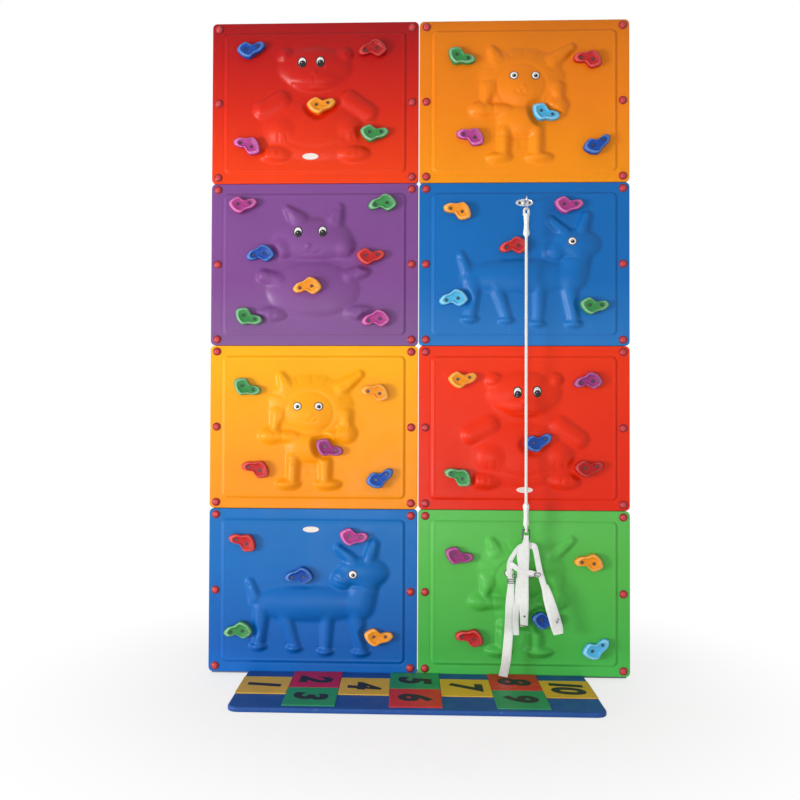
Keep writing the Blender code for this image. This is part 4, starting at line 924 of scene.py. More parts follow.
RED_BEAR = [("orange", -0.59, 0.59, 0), ("purple", 0.60, 0.57, 180), ("blue", 0.12, -0.17, 12),
            ("green", -0.62, -0.59, 147), ("dark_red", 0.60, -0.48, 0)]
BLUE_DONKEY_LOW = [("red", -0.66, 0.60, 150), ("magenta", 0.39, 0.67, -12),
                   ("blue", -0.12, 0.19, 176), ("green", -0.70, -0.48, 178),
                   ("orange", 0.63, -0.54, -8)]
GREEN_MANED = [("purple", -0.62, 0.45, -20), ("orange", 0.61, 0.39, 165), ("blue", 0.20, -0.31, -5),
               ("red", -0.51, -0.53, 160), ("light_blue", 0.67, -0.65, 22)]

# Eyes in millimetres: form, x, z. Plates: x, z.
CAT_EYES = [("oval", -86, 172), ("oval", 50, 175)]
MANED_EYES = [("round", -85, 114), ("round", 33, 114)]

# Panels: node, column, row, slot, figure, holds, eyes, blank plates
PANELS = [
    ("panel_row4_left_red", 0, 3, "panel_red", "bear", RED_BEAR_TOP,
     [("oval", -68, 212), ("oval", 32, 214)], [(-22, -304)]),
    ("panel_row4_right_orange", 1, 3, "panel_orange", "maned", ORANGE_MANED,
     [("round", -62, 126), ("round", 56, 126)], []),
    ("panel_row3_left_purple", 0, 2, "panel_purple", "cat", PURPLE_CAT, CAT_EYES, []),
    ("panel_row3_right_blue", 1, 2, "panel_blue", "donkey", BLUE_DONKEY, [("round", 254, 116)], []),
    ("panel_row2_left_yellow", 0, 1, "panel_yellow", "maned", YELLOW_MANED, MANED_EYES, []),
    ("panel_row2_right_red", 1, 1, "panel_red", "bear", RED_BEAR,
     [("oval", -40, 194), ("oval", 66, 198)], [(4, -338)]),
    ("panel_row1_left_blue", 0, 0, "panel_blue", "donkey", BLUE_DONKEY_LOW, [("round", 224, 99)],
     [(-9, 337)]),
    ("panel_row1_right_green", 1, 0, "panel_green", "maned", GREEN_MANED, MANED_EYES, []),
]


def soft_step(share):
    """A share from 0 to 1, eased at both ends."""
    return share * share * (3 - 2 * share)


def along_span(start, end, x, z):
    """How far along a span points x, z lie, from 0 to 1, and their distance from it."""
    (x0, z0), (x1, z1) = start, end
    span_x, span_z = x1 - x0, z1 - z0
    along = ((x - x0) * span_x + (z - z0) * span_z) / max(span_x ** 2 + span_z ** 2, 1e-9)
    along = np.clip(along, 0.0, 1.0)
    return along, np.hypot(x - x0 - along * span_x, z - z0 - along * span_z)


def pad_height(pad, x, z):
    """Rise of one pad in millimetres: positive inside its outline, negative outside."""
    if pad[0] == "dome":
        _, centre_x, centre_z, half_width, half_height, rise = pad
        reach = np.sqrt(((x - centre_x) / half_width) ** 2 + ((z - centre_z) / half_height) ** 2)
    else:
        _, x0, z0, radius0, x1, z1, radius1, rise = pad
        along, distance = along_span((x0, z0), (x1, z1), x, z)
        radius = radius0 + along * (radius1 - radius0)
        reach = distance / radius
        rise = rise * np.minimum(1.0, radius / THIN_LIMB) ** THIN_LIMB_POWER
    inside = np.clip(1.0 - reach ** 2, 0.0, 1.0) ** RELIEF_EDGE_POWER
    return rise * np.where(reach < 1.0, inside, 1.0 - reach)


def blended_maximum(first, second, blend):
    overlap = np.clip(blend - np.abs(first - second), 0.0, None)
    return np.maximum(first, second) + overlap ** 2 / (4 * blend)


def line_distance(points, x, z):
    """Distance from points x, z to a line through points."""
    nearest = np.full(np.shape(x), np.inf)
    for start, end in zip(points[:-1], points[1:]):
        nearest = np.minimum(nearest, along_span(start, end, x, z)[1])
    return nearest


def blended_pads(pads, x, z):
    """Rise of all pads, blended softly with each other and with the field."""
    total = pad_height(pads[0], x, z)
    for pad in pads[1:]:
        total = blended_maximum(total, pad_height(pad, x, z), RELIEF_BLEND)
    return blended_maximum(total, np.zeros_like(total), RELIEF_FOOT)


def relief_height(figure, x, z):
    """Rise of a figure above the field in metres at panel points in metres."""
    x, z = np.asarray(x) / MM, np.asarray(z) / MM
    pads, creases = FIGURES[figure]
    total = np.zeros_like(x)
    for step_x, share_x in SOFTENING:
        for step_z, share_z in SOFTENING:
            total = total + share_x * share_z * blended_pads(pads, x + step_x, z + step_z)
    for points, width, depth in creases:
        distance = line_distance(smooth_line(points, 5), x, z)
        total = total - CREASE_DEPTH * depth * np.exp(-(distance / width / CREASE_WIDTH) ** 2)
    return np.maximum(total, RELIEF_FLOOR) * MM


def panel_label(panel):
    """Row and side of a panel, as in the names of its pieces."""
    return "_".join(panel[0].split("_")[1:3])


def panel_centre(column, row):
    x = (column - 0.5) * COLUMN_PITCH
    z = PANEL_BOTTOM + row * ROW_PITCH + PANEL_HEIGHT / 2
    return x, z


def hold_place(hold):
    _, share_x, share_z, _ = hold
    return share_x * PANEL_WIDTH / 2, share_z * PANEL_HEIGHT / 2


def hold_node(panel, number):
    """Name of the solid of a panel's hold."""
    return f"hold_{panel_label(panel)}_{number}_{panel[5][number - 1][0]}"


def hold_foot(panel, number):
    """Depth of a hold's foot, as in its solid."""
    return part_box(hold_node(panel, number))[1][1]


def seated(height, x, z, panel):
    """Bring the relief to a flat seat under each hold, with a soft edge."""
    outline = np.array(smooth_line(HOLD_OUTLINE, 6, closed=True))
    angles = np.arctan2(outline[:, 1], outline[:, 0])
    order = np.argsort(angles)
    angles, radii = angles[order], np.hypot(outline[order, 0], outline[order, 1])
    for number, hold in enumerate(panel[5], start=1):
        place_x, place_z = hold_place(hold)
        seat = FIELD_Y - SEAT_GAP - hold_foot(panel, number)
        away_x, away_z = x - place_x, z - place_z
        bearing = np.arctan2(away_z, away_x) - math.radians(hold[3])
        bearing = (bearing + math.pi) % (2 * math.pi) - math.pi
        reach = np.interp(bearing, angles, radii, period=2 * math.pi)
        past = np.hypot(away_x, away_z) - reach
        share = soft_step(np.clip(1.0 - (past - SEAT_MARGIN) / SEAT_FADE, 0.0, 1.0))
        height = height * (1 - share) + seat * share
    return height


def field_rise(x, z):
    """Raised middle of the panel: a rounded step with a fine groove at its foot."""
    half_x = PANEL_WIDTH / 2 - FIELD_SIDE_BORDER - FIELD_CORNER
    half_z = PANEL_HEIGHT / 2 - FIELD_END_BORDER - FIELD_CORNER
    past_x, past_z = np.abs(x) - half_x, np.abs(z) - half_z
    outside = np.hypot(np.maximum(past_x, 0), np.maximum(past_z, 0))
    distance = outside + np.minimum(np.maximum(past_x, past_z), 0) - FIELD_CORNER
    groove = EDGE_LINE * np.exp(-((distance - GROOVE_PLACE) / GROOVE_WIDTH) ** 2)
    ridge = EDGE_LINE * np.exp(-((distance + FIELD_BEVEL + RIDGE_PLACE) / RIDGE_WIDTH) ** 2)
    step = soft_step(np.clip(-distance / FIELD_BEVEL, 0.0, 1.0))
    return FIELD_RISE * step - groove + ridge


def face_rise(panel, x, z):
    """How far a panel's face stands in front of its border."""
    return field_rise(x, z) + seated(relief_height(panel[4], x, z), x, z, panel)


# Panels

def rounded_grid(x, z, half_x, half_z, radius):
    """Draw a rectangle's grid in at its corners so that they become round."""
    past_x = np.clip((np.abs(x) - (half_x - radius)) / radius, 0, None)
    past_z = np.clip((np.abs(z) - (half_z - radius)) / radius, 0, None)
    length = np.hypot(past_x, past_z)
    factor = np.where(length > 0, np.maximum(past_x, past_z) / np.maximum(length, 1e-9), 1.0)
    round_x = np.where(past_x > 0, half_x - radius + past_x * radius * factor, np.abs(x))
    round_z = np.where(past_z > 0, half_z - radius + past_z * radius * factor, np.abs(z))
    return np.sign(x) * round_x, np.sign(z) * round_z


def panel_lines(half, inset, hollows):
    """Grid lines across a panel, and those of them that its back uses."""
    marks = [value for low, high in hollows for shift in GRID_DRAFT
             for value in (low + shift, high - shift)]
    bevel = [inset + shift for shift in GRID_BEVEL]
    reach = half - bevel[-1]
    steps = round(2 * reach / GRID_STEP)
    middle = [reach * (2 * step / steps - 1) for step in range(steps + 1)]
    sides = [side * (half - distance) for side in (-1, 1) for distance in GRID_EDGE + bevel]
    front = sorted({round(value, 5) for value in sides + middle + marks})
    plain = [side * (half - distance) for side in (-1, 1) for distance in GRID_BACK]
    back = {round(value, 5) for value in plain + marks}
    back |= set(front[GRID_BACK_SKIP:-GRID_BACK_SKIP:GRID_BACK_STEP])
    return np.array(front), [index for index, value in enumerate(front) if value in back]


def hollow_spans():
    """Spans in x and z of the three hollows in a panel's back."""
    pitch = (PANEL_WIDTH - 2 * BACK_RIM + BACK_RIB) / 3
    half = (pitch - BACK_RIB) / 2
    across = [(index * pitch - half, index * pitch + half) for index in (-1, 0, 1)]
    half_height = PANEL_HEIGHT / 2 - BACK_RIM
    return across, [(-half_height, half_height)]


def panel_side(x, z, rim):
    """Rings of a panel's side, drawn in at its parting line and its rear edge."""
    corner_x, corner_z = PANEL_WIDTH / 2 - PANEL_CORNER, PANEL_HEIGHT / 2 - PANEL_CORNER
    rings = []
    for inset, y in ((0, PARTING_LINE_Y - 0.0015), (0.0008, PARTING_LINE_Y - 0.0006),
                     (0.0008, PARTING_LINE_Y + 0.0006), (0, PARTING_LINE_Y + 0.0015),
                     (0, PANEL_BACK_Y - 0.002), (0.002, PANEL_BACK_Y)):
        ring = []
        for j, i in rim:
            out_x = max(abs(x[j, i]) - corner_x, 0) * np.sign(x[j, i])
            out_z = max(abs(z[j, i]) - corner_z, 0) * np.sign(z[j, i])
            length = math.hypot(out_x, out_z)
            ring.append((x[j, i] - inset * out_x / length, y, z[j, i] - inset * out_z / length))
        rings.append(ring)
    return rings


def panel_pattern():
    """Grid, side, back and faces that all panels share."""
    across, upward = hollow_spans()
    columns, back_columns = panel_lines(PANEL_WIDTH / 2, FIELD_SIDE_BORDER, across)
    rows, back_rows = panel_lines(PANEL_HEIGHT / 2, FIELD_END_BORDER, upward)
    wide, tall = len(columns), len(rows)
    flat_x, flat_z = np.meshgrid(columns, rows)
    x, z = rounded_grid(flat_x, flat_z, PANEL_WIDTH / 2, PANEL_HEIGHT / 2, PANEL_CORNER)
    from_edge = np.minimum(PANEL_WIDTH / 2 - np.abs(flat_x), PANEL_HEIGHT / 2 - np.abs(flat_z))
    short = np.clip(1 - from_edge / PANEL_EDGE, 0, 1)
    drop = PANEL_EDGE * (1 - np.sqrt(1 - short ** 2))
    ids, faces, rim = grid(tall, wide)
    sides = panel_side(x, z, rim)
    count = len(rim)
    near = [int(ids[j, i]) for j, i in rim]
    for level in range(len(sides)):
        first = wide * tall + level * count
        far = list(range(first, first + count))
        faces.extend(band(near, far))
        near = far
    last = dict(zip(rim, near))
    back_points, back_ids = [], {}
    base = wide * tall + len(sides) * count
    for j in back_rows:
        for i in back_columns:
            if (j, i) in last:
                back_ids[j, i] = last[j, i]
                continue
            back_ids[j, i] = base + len(back_points)
            depth = 0.0
            for low, high in across:
                inside = min(columns[i] - low, high - columns[i], rows[j] - upward[0][0],
                             upward[0][1] - rows[j])
                depth = max(depth, soft_step(min(max(inside / GRID_DRAFT[-1], 0.0), 1.0)))
            y = PANEL_BACK_Y + (BORDER_Y + FRONT_WALL - PANEL_BACK_Y) * depth
            back_points.append((x[j, i], y, z[j, i]))

    def between(start, end):
        """Rim points that the back's coarser grid passes over."""
        (j0, i0), (j1, i1) = start, end
        if j0 == j1 and j0 in (0, tall - 1):
            step = 1 if i1 > i0 else -1
            return [last[j0, i] for i in range(i0 + step, i1, step)]
        if i0 == i1 and i0 in (0, wide - 1):
            step = 1 if j1 > j0 else -1
            return [last[j, i0] for j in range(j0 + step, j1, step)]
        return []

    for j0, j1 in zip(back_rows[:-1], back_rows[1:]):
        for i0, i1 in zip(back_columns[:-1], back_columns[1:]):
            loop = [(j0, i0), (j1, i0), (j1, i1), (j0, i1)]
            face = []
            for start, end in zip(loop, loop[1:] + loop[:1]):
                face.append(back_ids[start])
                face.extend(between(start, end))
            faces.append(face)
    return x, z, drop, np.array([point for ring in sides for point in ring] + back_points), faces


def build_panels():
    x, z, drop, rest, faces = panel_pattern()
    for panel in PANELS:
        node, slot = panel[0], panel[3]
        centre_x, centre_z = panel_centre(*panel[1:3])
        y = BORDER_Y + drop - face_rise(panel, x, z)
        front = np.stack([x, y, z], -1).reshape(-1, 3)
        points = np.concatenate([front, rest]) + np.array([centre_x, 0.0, centre_z])
        face = add_mesh("moulded_" + node, points.tolist(), faces, node, "wall", sharp=60,
                        fix=False)
        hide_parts(node)


# Eyes and blank plates, laid on the relief

def surface_disc(name, panel, place, size, profile, materials, bands=(-1.0,), rings=10, sides=40):
    """A disc on the panel's face. profile gives its lift at shares of its radius, and bands the
    share above which each of its materials lies."""
    centre_x, centre_z = panel_centre(*panel[1:3])
    shares = np.linspace(1.0, 0.0, rings + 1)[:-1]
    angle = np.linspace(0, 2 * math.pi, sides, endpoint=False)
    x = np.concatenate([place[0] + size[0] * s * np.cos(angle) for s in shares] + [[place[0]]])
    z = np.concatenate([place[1] + size[1] * s * np.sin(angle) for s in shares] + [[place[1]]])
    base = face_rise(panel, x, z)
    share = np.concatenate([np.full(sides, s) for s in shares] + [[0.0]])
    y = BORDER_Y - base - np.interp(share, *zip(*profile))
    points = [(centre_x + a, b, centre_z + c) for a, b, c in zip(x, y, z)]
    foot = [(centre_x + a, BORDER_Y - b + DISC_FOOT, centre_z + c)
            for a, b, c in zip(x[:sides], base[:sides], z[:sides])]
    _, faces = skin([points[ring * sides:(ring + 1) * sides] for ring in range(rings)], caps=False)
    slots = []
    for reach in shares[:-1]:
        slots += [next(index for index, limit in enumerate(bands) if reach > limit)] * sides
    rim, inner = list(range(sides)), list(range((rings - 1) * sides, rings * sides))
    faces += [(near, far, len(points) - 1) for near, far in zip(inner, inner[1:] + inner[:1])]
    faces += band(rim, list(range(len(points), len(points) + sides)))
    slots += [len(bands) - 1] * sides + [0] * sides
    add_mesh(name, points + foot, faces, materials, "wall", slots=slots, sharp=60)


def build_faces():
    """Eyes with white, pupil and glint, and the plain oval plates."""
    for panel in PANELS:
        label = panel_label(panel)
        for number, (form, x, z) in enumerate(panel[6], start=1):
            white, pupil, shift, rim, rim_material = EYE_FORMS[form]
            x, z = x * MM, z * MM
            surface_disc(f"eye_white_{label}_{number}", panel, (x, z), white, EYE_PROFILE,
                         (rim_material, "eye_white"), (rim, -1.0))
            x, z = x + shift[0], z + shift[1]
            surface_disc(f"eye_pupil_{label}_{number}", panel, (x, z), pupil, PUPIL_PROFILE,
                         ("eye_black",), rings=6, sides=32)
            glint = (x + GLINT_SHIFT[0], z + GLINT_SHIFT[1])
            surface_disc(f"eye_glint_{label}_{number}", panel, glint, GLINT_SIZE, GLINT_PROFILE,
                         ("eye_white",), rings=3, sides=16)
        for number, (x, z) in enumerate(panel[7], start=1):
            surface_disc(f"blank_plate_{label}_{number}", panel, (x * MM, z * MM), BADGE_SIZE,
                         BADGE_PROFILE, ("blank_plate",), rings=16, sides=48)


# Caps and holds

def build_caps():
    """Six domed caps on each panel, one piece a panel: one red plastic, its ring painted darker as
    shade and its dome lighter as a highlight.
    """
    sides = 32
    domes = (len(CAP_PROFILE) - 1 - CAP_RING_ROWS) * sides
    for panel in PANELS:
        centre_x, centre_z = panel_centre(*panel[1:3])
        shells, slots = [], []
        for side in (-1, 1):
            for level in (-1, 0, 1):
                place = (centre_x + side * BOLT_X, BORDER_Y - SEAT_GAP, centre_z + level * BOLT_Z)
                shells.append(turned_body(CAP_PROFILE, place, sides))
                # The flange ring takes the painted shade, the dome the painted highlight
                slots += [0] * (CAP_RING_ROWS * sides) + [1] * domes + [0, 1]
        add_mesh("caps_" + panel_label(panel), *joined(shells), ("cap_ring", "cap_dome"), "wall",
                 slots=slots, sharp=50)


def lumps(place, wave):
    """A sine along one axis, from its pace and its start."""
    pace, start = wave
    return math.sin(pace * place + start)


def hold_pattern():
    """One hold in its own frame, foot at y = 0, standing out along -Y."""
    outline = np.array(smooth_line(HOLD_OUTLINE, 12, closed=True))
    rings, marks = [], []
    for scale, y in HOLD_LEVELS:
        ring = []
        for x, z in outline * scale:
            above = min(1.0, max(0.0, (-y - HOLD_TILT_FROM) / HOLD_TILT_SPAN))
            tilt = HOLD_TILT * (1 + z / HOLD_HEIGHT) * above
            lump = HOLD_LUMP * lumps(x, HOLD_LUMP_X) * lumps(z, HOLD_LUMP_Z) * (-y / HOLD_HEIGHT)
            ring.append((x, y + tilt + lump if y < 0 else y, z))
            rub = math.exp(-((scale - HOLD_RUB) / HOLD_RUB_WIDTH) ** 2)
            marks.append((rub if y < -HOLD_RUB_FROM else 0.0, -y))
        rings.append(ring)
    whole = add_mesh("hold_pattern", *skin(rings), "hold_red", uvs=marks, sharp=60)
    pits = joined([turned_body(HOLD_PIT, (x, HOLD_FLOOR_Y, z), 28) for x, z in HOLD_BOLTS])
    cutter = add_mesh("hold_pits", *pits, "hold_red")
    step = whole.modifiers.new("pits", "BOOLEAN")
    step.operation, step.solver, step.object = "DIFFERENCE", "EXACT", cutter
    graph = bpy.context.evaluated_depsgraph_get()
    mesh = bpy.data.meshes.new_from_object(whole.evaluated_get(graph), depsgraph=graph)
    mesh.shade_smooth()
    mesh.set_sharp_from_angle(angle=math.radians(42))
    for item in (whole, cutter):
        bpy.data.objects.remove(item, do_unlink=True)
    return mesh


def bolt_head(x, y, z):
    """Socket-head bolt on a washer, with a six-sided recess."""
    steps = circle(24)
    rings = [[(x + radius * cos, y - rise, z + radius * sin) for cos, sin in steps]
             for radius, rise in BOLT_HEAD]
    for rise in (BOLT_RECESS_TOP, BOLT_RECESS_FLOOR):
        ring = []
        for index, (cos, sin) in enumerate(steps):
            from_flat = (2 * math.pi * index / len(steps)) % (math.pi / 3) - math.pi / 6
            reach = BOLT_RECESS / math.cos(from_flat)
            ring.append((x + reach * cos, y - rise, z + reach * sin))
        rings.append(ring)
    return skin(rings)


def build_holds():
    pattern = hold_pattern()
    heads = joined([bolt_head(x, HOLD_FLOOR_Y, z) for x, z in HOLD_BOLTS])
    bolts = add_mesh("hold_bolts", *heads, "dark_steel", sharp=35)
    meshes = {}
    for panel in PANELS:
        centre_x, centre_z = panel_centre(*panel[1:3])
        for number, hold in enumerate(panel[5], start=1):
            colour, _, _, tail = hold
            if colour not in meshes:
                meshes[colour] = pattern.copy()
                meshes[colour].materials.clear()
                meshes[colour].materials.append(MATERIALS["hold_" + colour])
            place_x, place_z = hold_place(hold)
            foot_y = hold_foot(panel, number)
            cad_name = hold_node(panel, number)
            for name, mesh in (("grip_" + cad_name[5:], meshes[colour]),
                               ("bolts_" + cad_name[5:], bolts.data)):
                item = linked(name, mesh)
                item.location = (centre_x + place_x, foot_y, centre_z + place_z)
                item.rotation_euler = (0, -math.radians(tail), 0)
                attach(item, "wall")
                if name.startswith("grip_"):
                    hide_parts(cad_name)
    bpy.data.objects.remove(bolts, do_unlink=True)


# Steel frame

def rounded_square(half_x, half_y, radius, segments=4):
    points = []
    for side_x, side_y, start in ((1, 1, 0), (-1, 1, 90), (-1, -1, 180), (1, -1, 270)):
        for step in range(segments + 1):
            angle = math.radians(start + 90 * step / segments)
            points.append((side_x * (half_x - radius) + radius * math.cos(angle),
                           side_y * (half_y - radius) + radius * math.sin(angle)))
    return points


def square_tube(start, end):
    """Open square tube with rounded corners, upright or along X."""
    outer = rounded_square(TUBE_SIZE / 2, TUBE_SIZE / 2, TUBE_CORNER)
    bore = TUBE_SIZE / 2 - TUBE_WALL
    inner = rounded_square(bore, bore, TUBE_CORNER - TUBE_WALL)
    rings = []
    for outline, (x, y, z) in ((outer, start), (outer, end), (inner, end), (inner, start)):
        if abs(end[2] - start[2]) > abs(end[0] - start[0]):
            rings.append([(x + a, y + b, z) for a, b in outline])
        else:
            rings.append([(x, y + a, z + b) for a, b in outline])
    return skin(rings, closed=True)


def rung_bead(x, z, side):
    """A bead round a rung where it meets its upright."""
    half = TUBE_SIZE / 2 + 0.0004
    path = [(x + side * 0.0012, a, z + b) for a, b in rounded_square(half, half, TUBE_CORNER, 6)]
    return rippled_bead(smooth_line(path, 3, closed=True), 0.0026, 0.0004, 1.9)


def foot_bead(x):
    """A bead round an upright where it stands on the sill."""
    outline = rounded_square(TUBE_SIZE / 2 + 0.0006, TUBE_SIZE / 2 - 0.0022, TUBE_CORNER, 6)
    path = [(x + a, b, SILL_THICKNESS + 0.001) for a, b in outline]
    return rippled_bead(smooth_line(path, 3, closed=True), 0.0024, 0.0003, 1.7)


def upright_places():
    return [panel_centre(column, 0)[0] + side * BOLT_X for column in (0, 1) for side in (-1, 1)]


def ring_plate(outer, hole_radius, hole_place, low, high):
    """A flat plate in x and z with one round hole, between two y levels."""
    hole_x, hole_z = hole_place
    hole = [(hole_x + hole_radius * math.cos(a), hole_z + hole_radius * math.sin(a))
            for a in (math.atan2(z - hole_z, x - hole_x) for x, z in outer)]
    return skin([[(x, y, z) for x, z in outline] for outline, y in (
        (outer, low), (outer, high), (hole, high), (hole, low))], closed=True)


def wall_angle(x, side, height):
    """Steel angle on an upright: a side leg and a rear flange with a bolt hole."""
    near = x + side * (TUBE_SIZE / 2)
    low, high = height - BRACKET_TALL / 2, height + BRACKET_TALL / 2
    leg_outline = rounded_square((BRACKET_REACH + TUBE_SIZE / 4) / 2, BRACKET_TALL / 2, 0.004)
    leg_y = (BRACKET_REACH - TUBE_SIZE / 4) / 2
    leg = skin([[(near + side * depth, leg_y + a, height + b) for a, b in leg_outline]
                for depth in (0.0, BRACKET_STEEL)])
    middle = near + side * BRACKET_FLANGE / 2
    flange_outline = [(middle + a, height + b)
                      for a, b in rounded_square(BRACKET_FLANGE / 2, BRACKET_TALL / 2, 0.006, 7)]
    flange = ring_plate(smooth_line(flange_outline, 1, closed=True), BRACKET_HOLE,
                        (middle + side * 0.006, height), BRACKET_REACH - BRACKET_STEEL,
                        BRACKET_REACH)
    beads = []
    for edge in (-TUBE_SIZE / 4, TUBE_SIZE / 4 + 0.012):
        path = [(near + side * 0.001, edge, z) for z in np.linspace(low + 0.004, high - 0.004, 24)]
        beads.append(rippled_bead(path, 0.0022, 0.0003, 2.1, closed=False))
    return [leg, flange], beads


def sill():
    """Flat bar under the uprights with broken edges."""
    half_x = upright_places()[-1] + SILL_OVERHANG
    half_y = (BRACKET_REACH + SILL_FRONT) / 2
    middle_y = (BRACKET_REACH - SILL_FRONT) / 2
    outline = rounded_square(half_x, half_y, 0.006)
    inset = rounded_square(half_x - SILL_EDGE, half_y - SILL_EDGE, 0.0055)
    return skin([[(a, middle_y + b, z) for a, b in shape] for shape, z in (
        (inset, 0.0), (outline, SILL_EDGE), (outline, SILL_THICKNESS - SILL_EDGE),
        (inset, SILL_THICKNESS))])


def build_frame():
    shells, beads = [], []
    for x in upright_places():
        shells.append(square_tube((x, 0, SILL_THICKNESS), (x, 0, FRAME_TOP)))
        beads.append(foot_bead(x))
    reach = BOLT_X - TUBE_SIZE / 2
    for column in (0, 1):
        x = panel_centre(column, 0)[0]
        for height in RUNG_HEIGHTS:
            shells.append(square_tube((x - reach, 0, height), (x + reach, 0, height)))
            beads.append(rung_bead(x - reach, height, 1))
            beads.append(rung_bead(x + reach, height, -1))
    shells.append(sill())
    for index, x in enumerate(upright_places()):
        side = -1 if index % 2 else 1
        for height in BRACKET_HEIGHTS:
            plates, seams = wall_angle(x, side, height)
            shells.extend(plates)
            beads.extend(seams)
    painted = add_mesh("frame_tubes", *joined(shells), "frame_paint", "wall", sharp=30)
    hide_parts("wall_frame")
    add_mesh("frame_welds", *joined(beads), "frame_paint", "wall", sharp=60)


# Pad eye, link, rope and carabiner

def build_pad_eye():
    seat = FIELD_Y - SEAT_GAP
    plate = []
    for share, rise in EYE_PLATE:
        trim = EYE_PLATE_HALF[1] * (1 - share)
        half_x = max(EYE_PLATE_HALF[0] - trim * 1.25, 0.0004)
        half_z = max(EYE_PLATE_HALF[1] - trim, 0.0002)
        plate.append([(ROPE_X + half_x * cos, seat - rise, EYE_Z + half_z * sin)
                      for cos, sin in circle(64)])
    neck = turned_body(EYE_NECK, (ROPE_X, seat, EYE_Z), 24)
    path = [(ROPE_X, ROPE_Y + EYE_RADIUS * math.cos(a), EYE_Z + EYE_RADIUS * math.sin(a))
            for a in np.linspace(0, 2 * math.pi, 40, endpoint=False)]
    ring = bar(path, EYE_WIRE, 16, closed=True)
    eye = add_mesh("pad_eye_plate", *joined([skin(plate), neck, ring]), "polished_steel", "wall",
                   sharp=40)
    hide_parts("pad_eye")
    screws = [turned_body(EYE_SCREW, (ROPE_X + side * 0.0265, seat - 0.0024, EYE_Z - 0.001), 24)
              for side in (-1, 1)]
    add_mesh("pad_eye_screws", *joined(screws), "dark_steel", "wall", sharp=35)


def build_link():
    """A long link whose sides turn through a quarter from its upper to its lower end."""
    bend = LINK_END * LINK_LENGTH / 2

    def leg(side):
        points = []
        for step in range(LINK_SIDE_POINTS):
            share = step / (LINK_SIDE_POINTS - 1)
            turn = math.pi / 2 * share ** 2
            points.append((side * LINK_TOP_HALF * math.cos(turn),
                           side * LINK_LOW_HALF * math.sin(turn),
                           -(LINK_END + (1 - 2 * LINK_END) * share) * LINK_LENGTH))
        return points

    path = [(x, 0.0, 0.0) for x in (bend - LINK_TOP_HALF, 0.0, LINK_TOP_HALF - bend)] + leg(1)
    path += [(0.0, y, -LINK_LENGTH) for y in (LINK_LOW_HALF - bend, 0.0, bend - LINK_LOW_HALF)]
    path += reversed(leg(-1))
    placed = [(ROPE_X + x, ROPE_Y + y, LINK_PIVOT_Z + z)
              for x, y, z in smooth_line(path, 3, closed=True)]
    link = add_mesh("twisted_link", *bar(placed, LINK_WIRE, 14, closed=True), "zinc_steel", "link",
                    sharp=60)
    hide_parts("hanging_link")


def splice(name, eye_end, rope_end):
    """A whipped splice: its cord winds round it in a steady spiral."""
    rings, uvs = [], []
    steps, sides = 90, 28
    length = abs(rope_end - eye_end)
    for step in range(steps + 1):
        share = step / steps
        radius = float(np.interp(share, *zip(*SPLICE_PROFILE)))
        ring = []
        for k in range(sides):
            angle = 2 * math.pi * k / sides
            wave = math.sin(angle + 2 * math.pi * share * length / WHIPPING_PITCH)
            reach = radius * (1 + WHIPPING_DEPTH * wave) - SPLICE_INSET
            ring.append((ROPE_X + reach * math.cos(angle), ROPE_Y + reach * math.sin(angle),
                         eye_end + (rope_end - eye_end) * share))
            uvs.append((k / sides, share * length))
        rings.append(ring)
    item = add_mesh(name, *skin(rings), "splice_cover", "rope", uvs, sharp=70)
    return item


def rope_eye(name, pivot_z, upward, edge_on):
    """Round-ended loop of rope about a bar."""
    half = EYE_SLOT_HALF + EYE_ROPE_RADIUS
    flat = [(half, -upward * EYE_LEG), (half, -upward * EYE_LEG / 2)]
    flat += [(half * math.cos(a), upward * half * math.sin(a)) for a in np.linspace(0, math.pi, 13)]
    flat += [(-half, -upward * EYE_LEG / 2), (-half, -upward * EYE_LEG)]
    path = []
    for across, rise in smooth_line(flat, 3):
        x, y = (0.0, across) if edge_on else (across, 0.0)
        path.append((ROPE_X + x, ROPE_Y + y, pivot_z + rise))
    points, faces, uvs = mapped_bar(path, EYE_ROPE_RADIUS, 18)
    item = add_mesh(name, points, faces, "rope_cover", "rope", uvs, sharp=70)


def carabiner_path():
    side_x = CARABINER_HALF_WIDTH - CARABINER_CORNER
    side_z = CARABINER_HALF_HEIGHT - CARABINER_CORNER
    points = [(CARABINER_HALF_WIDTH, GATE_LENGTH / 2)]
    for turn, (sign_x, sign_z) in enumerate(((1, 1), (-1, 1), (-1, -1), (1, -1))):
        for step in range(CARABINER_CORNER_STEPS + 1):
            angle = math.radians(90 * (turn + step / CARABINER_CORNER_STEPS))
            points.append((sign_x * side_x + CARABINER_CORNER * math.cos(angle),
                           sign_z * side_z + CARABINER_CORNER * math.sin(angle)))
    points.append((CARABINER_HALF_WIDTH, -GATE_LENGTH / 2))
    return [(ROPE_X + x, ROPE_Y, CARABINER_Z + z) for x, z in points]


def build_carabiner():
    clip = add_mesh("carabiner_bar", *bar(carabiner_path(), CARABINER_WIRE, 18), "dark_steel",
                    "harness", sharp=50)
    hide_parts("carabiner")
    path = [(ROPE_X + CARABINER_HALF_WIDTH, ROPE_Y, CARABINER_Z + z) for z, _ in GATE_STATIONS]
    radii = [radius for _, radius in GATE_STATIONS]
    gate = add_mesh("carabiner_gate_bar", *bar(path, radii, 18), "dark_steel", "gate", sharp=35)
    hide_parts("carabiner_gate")


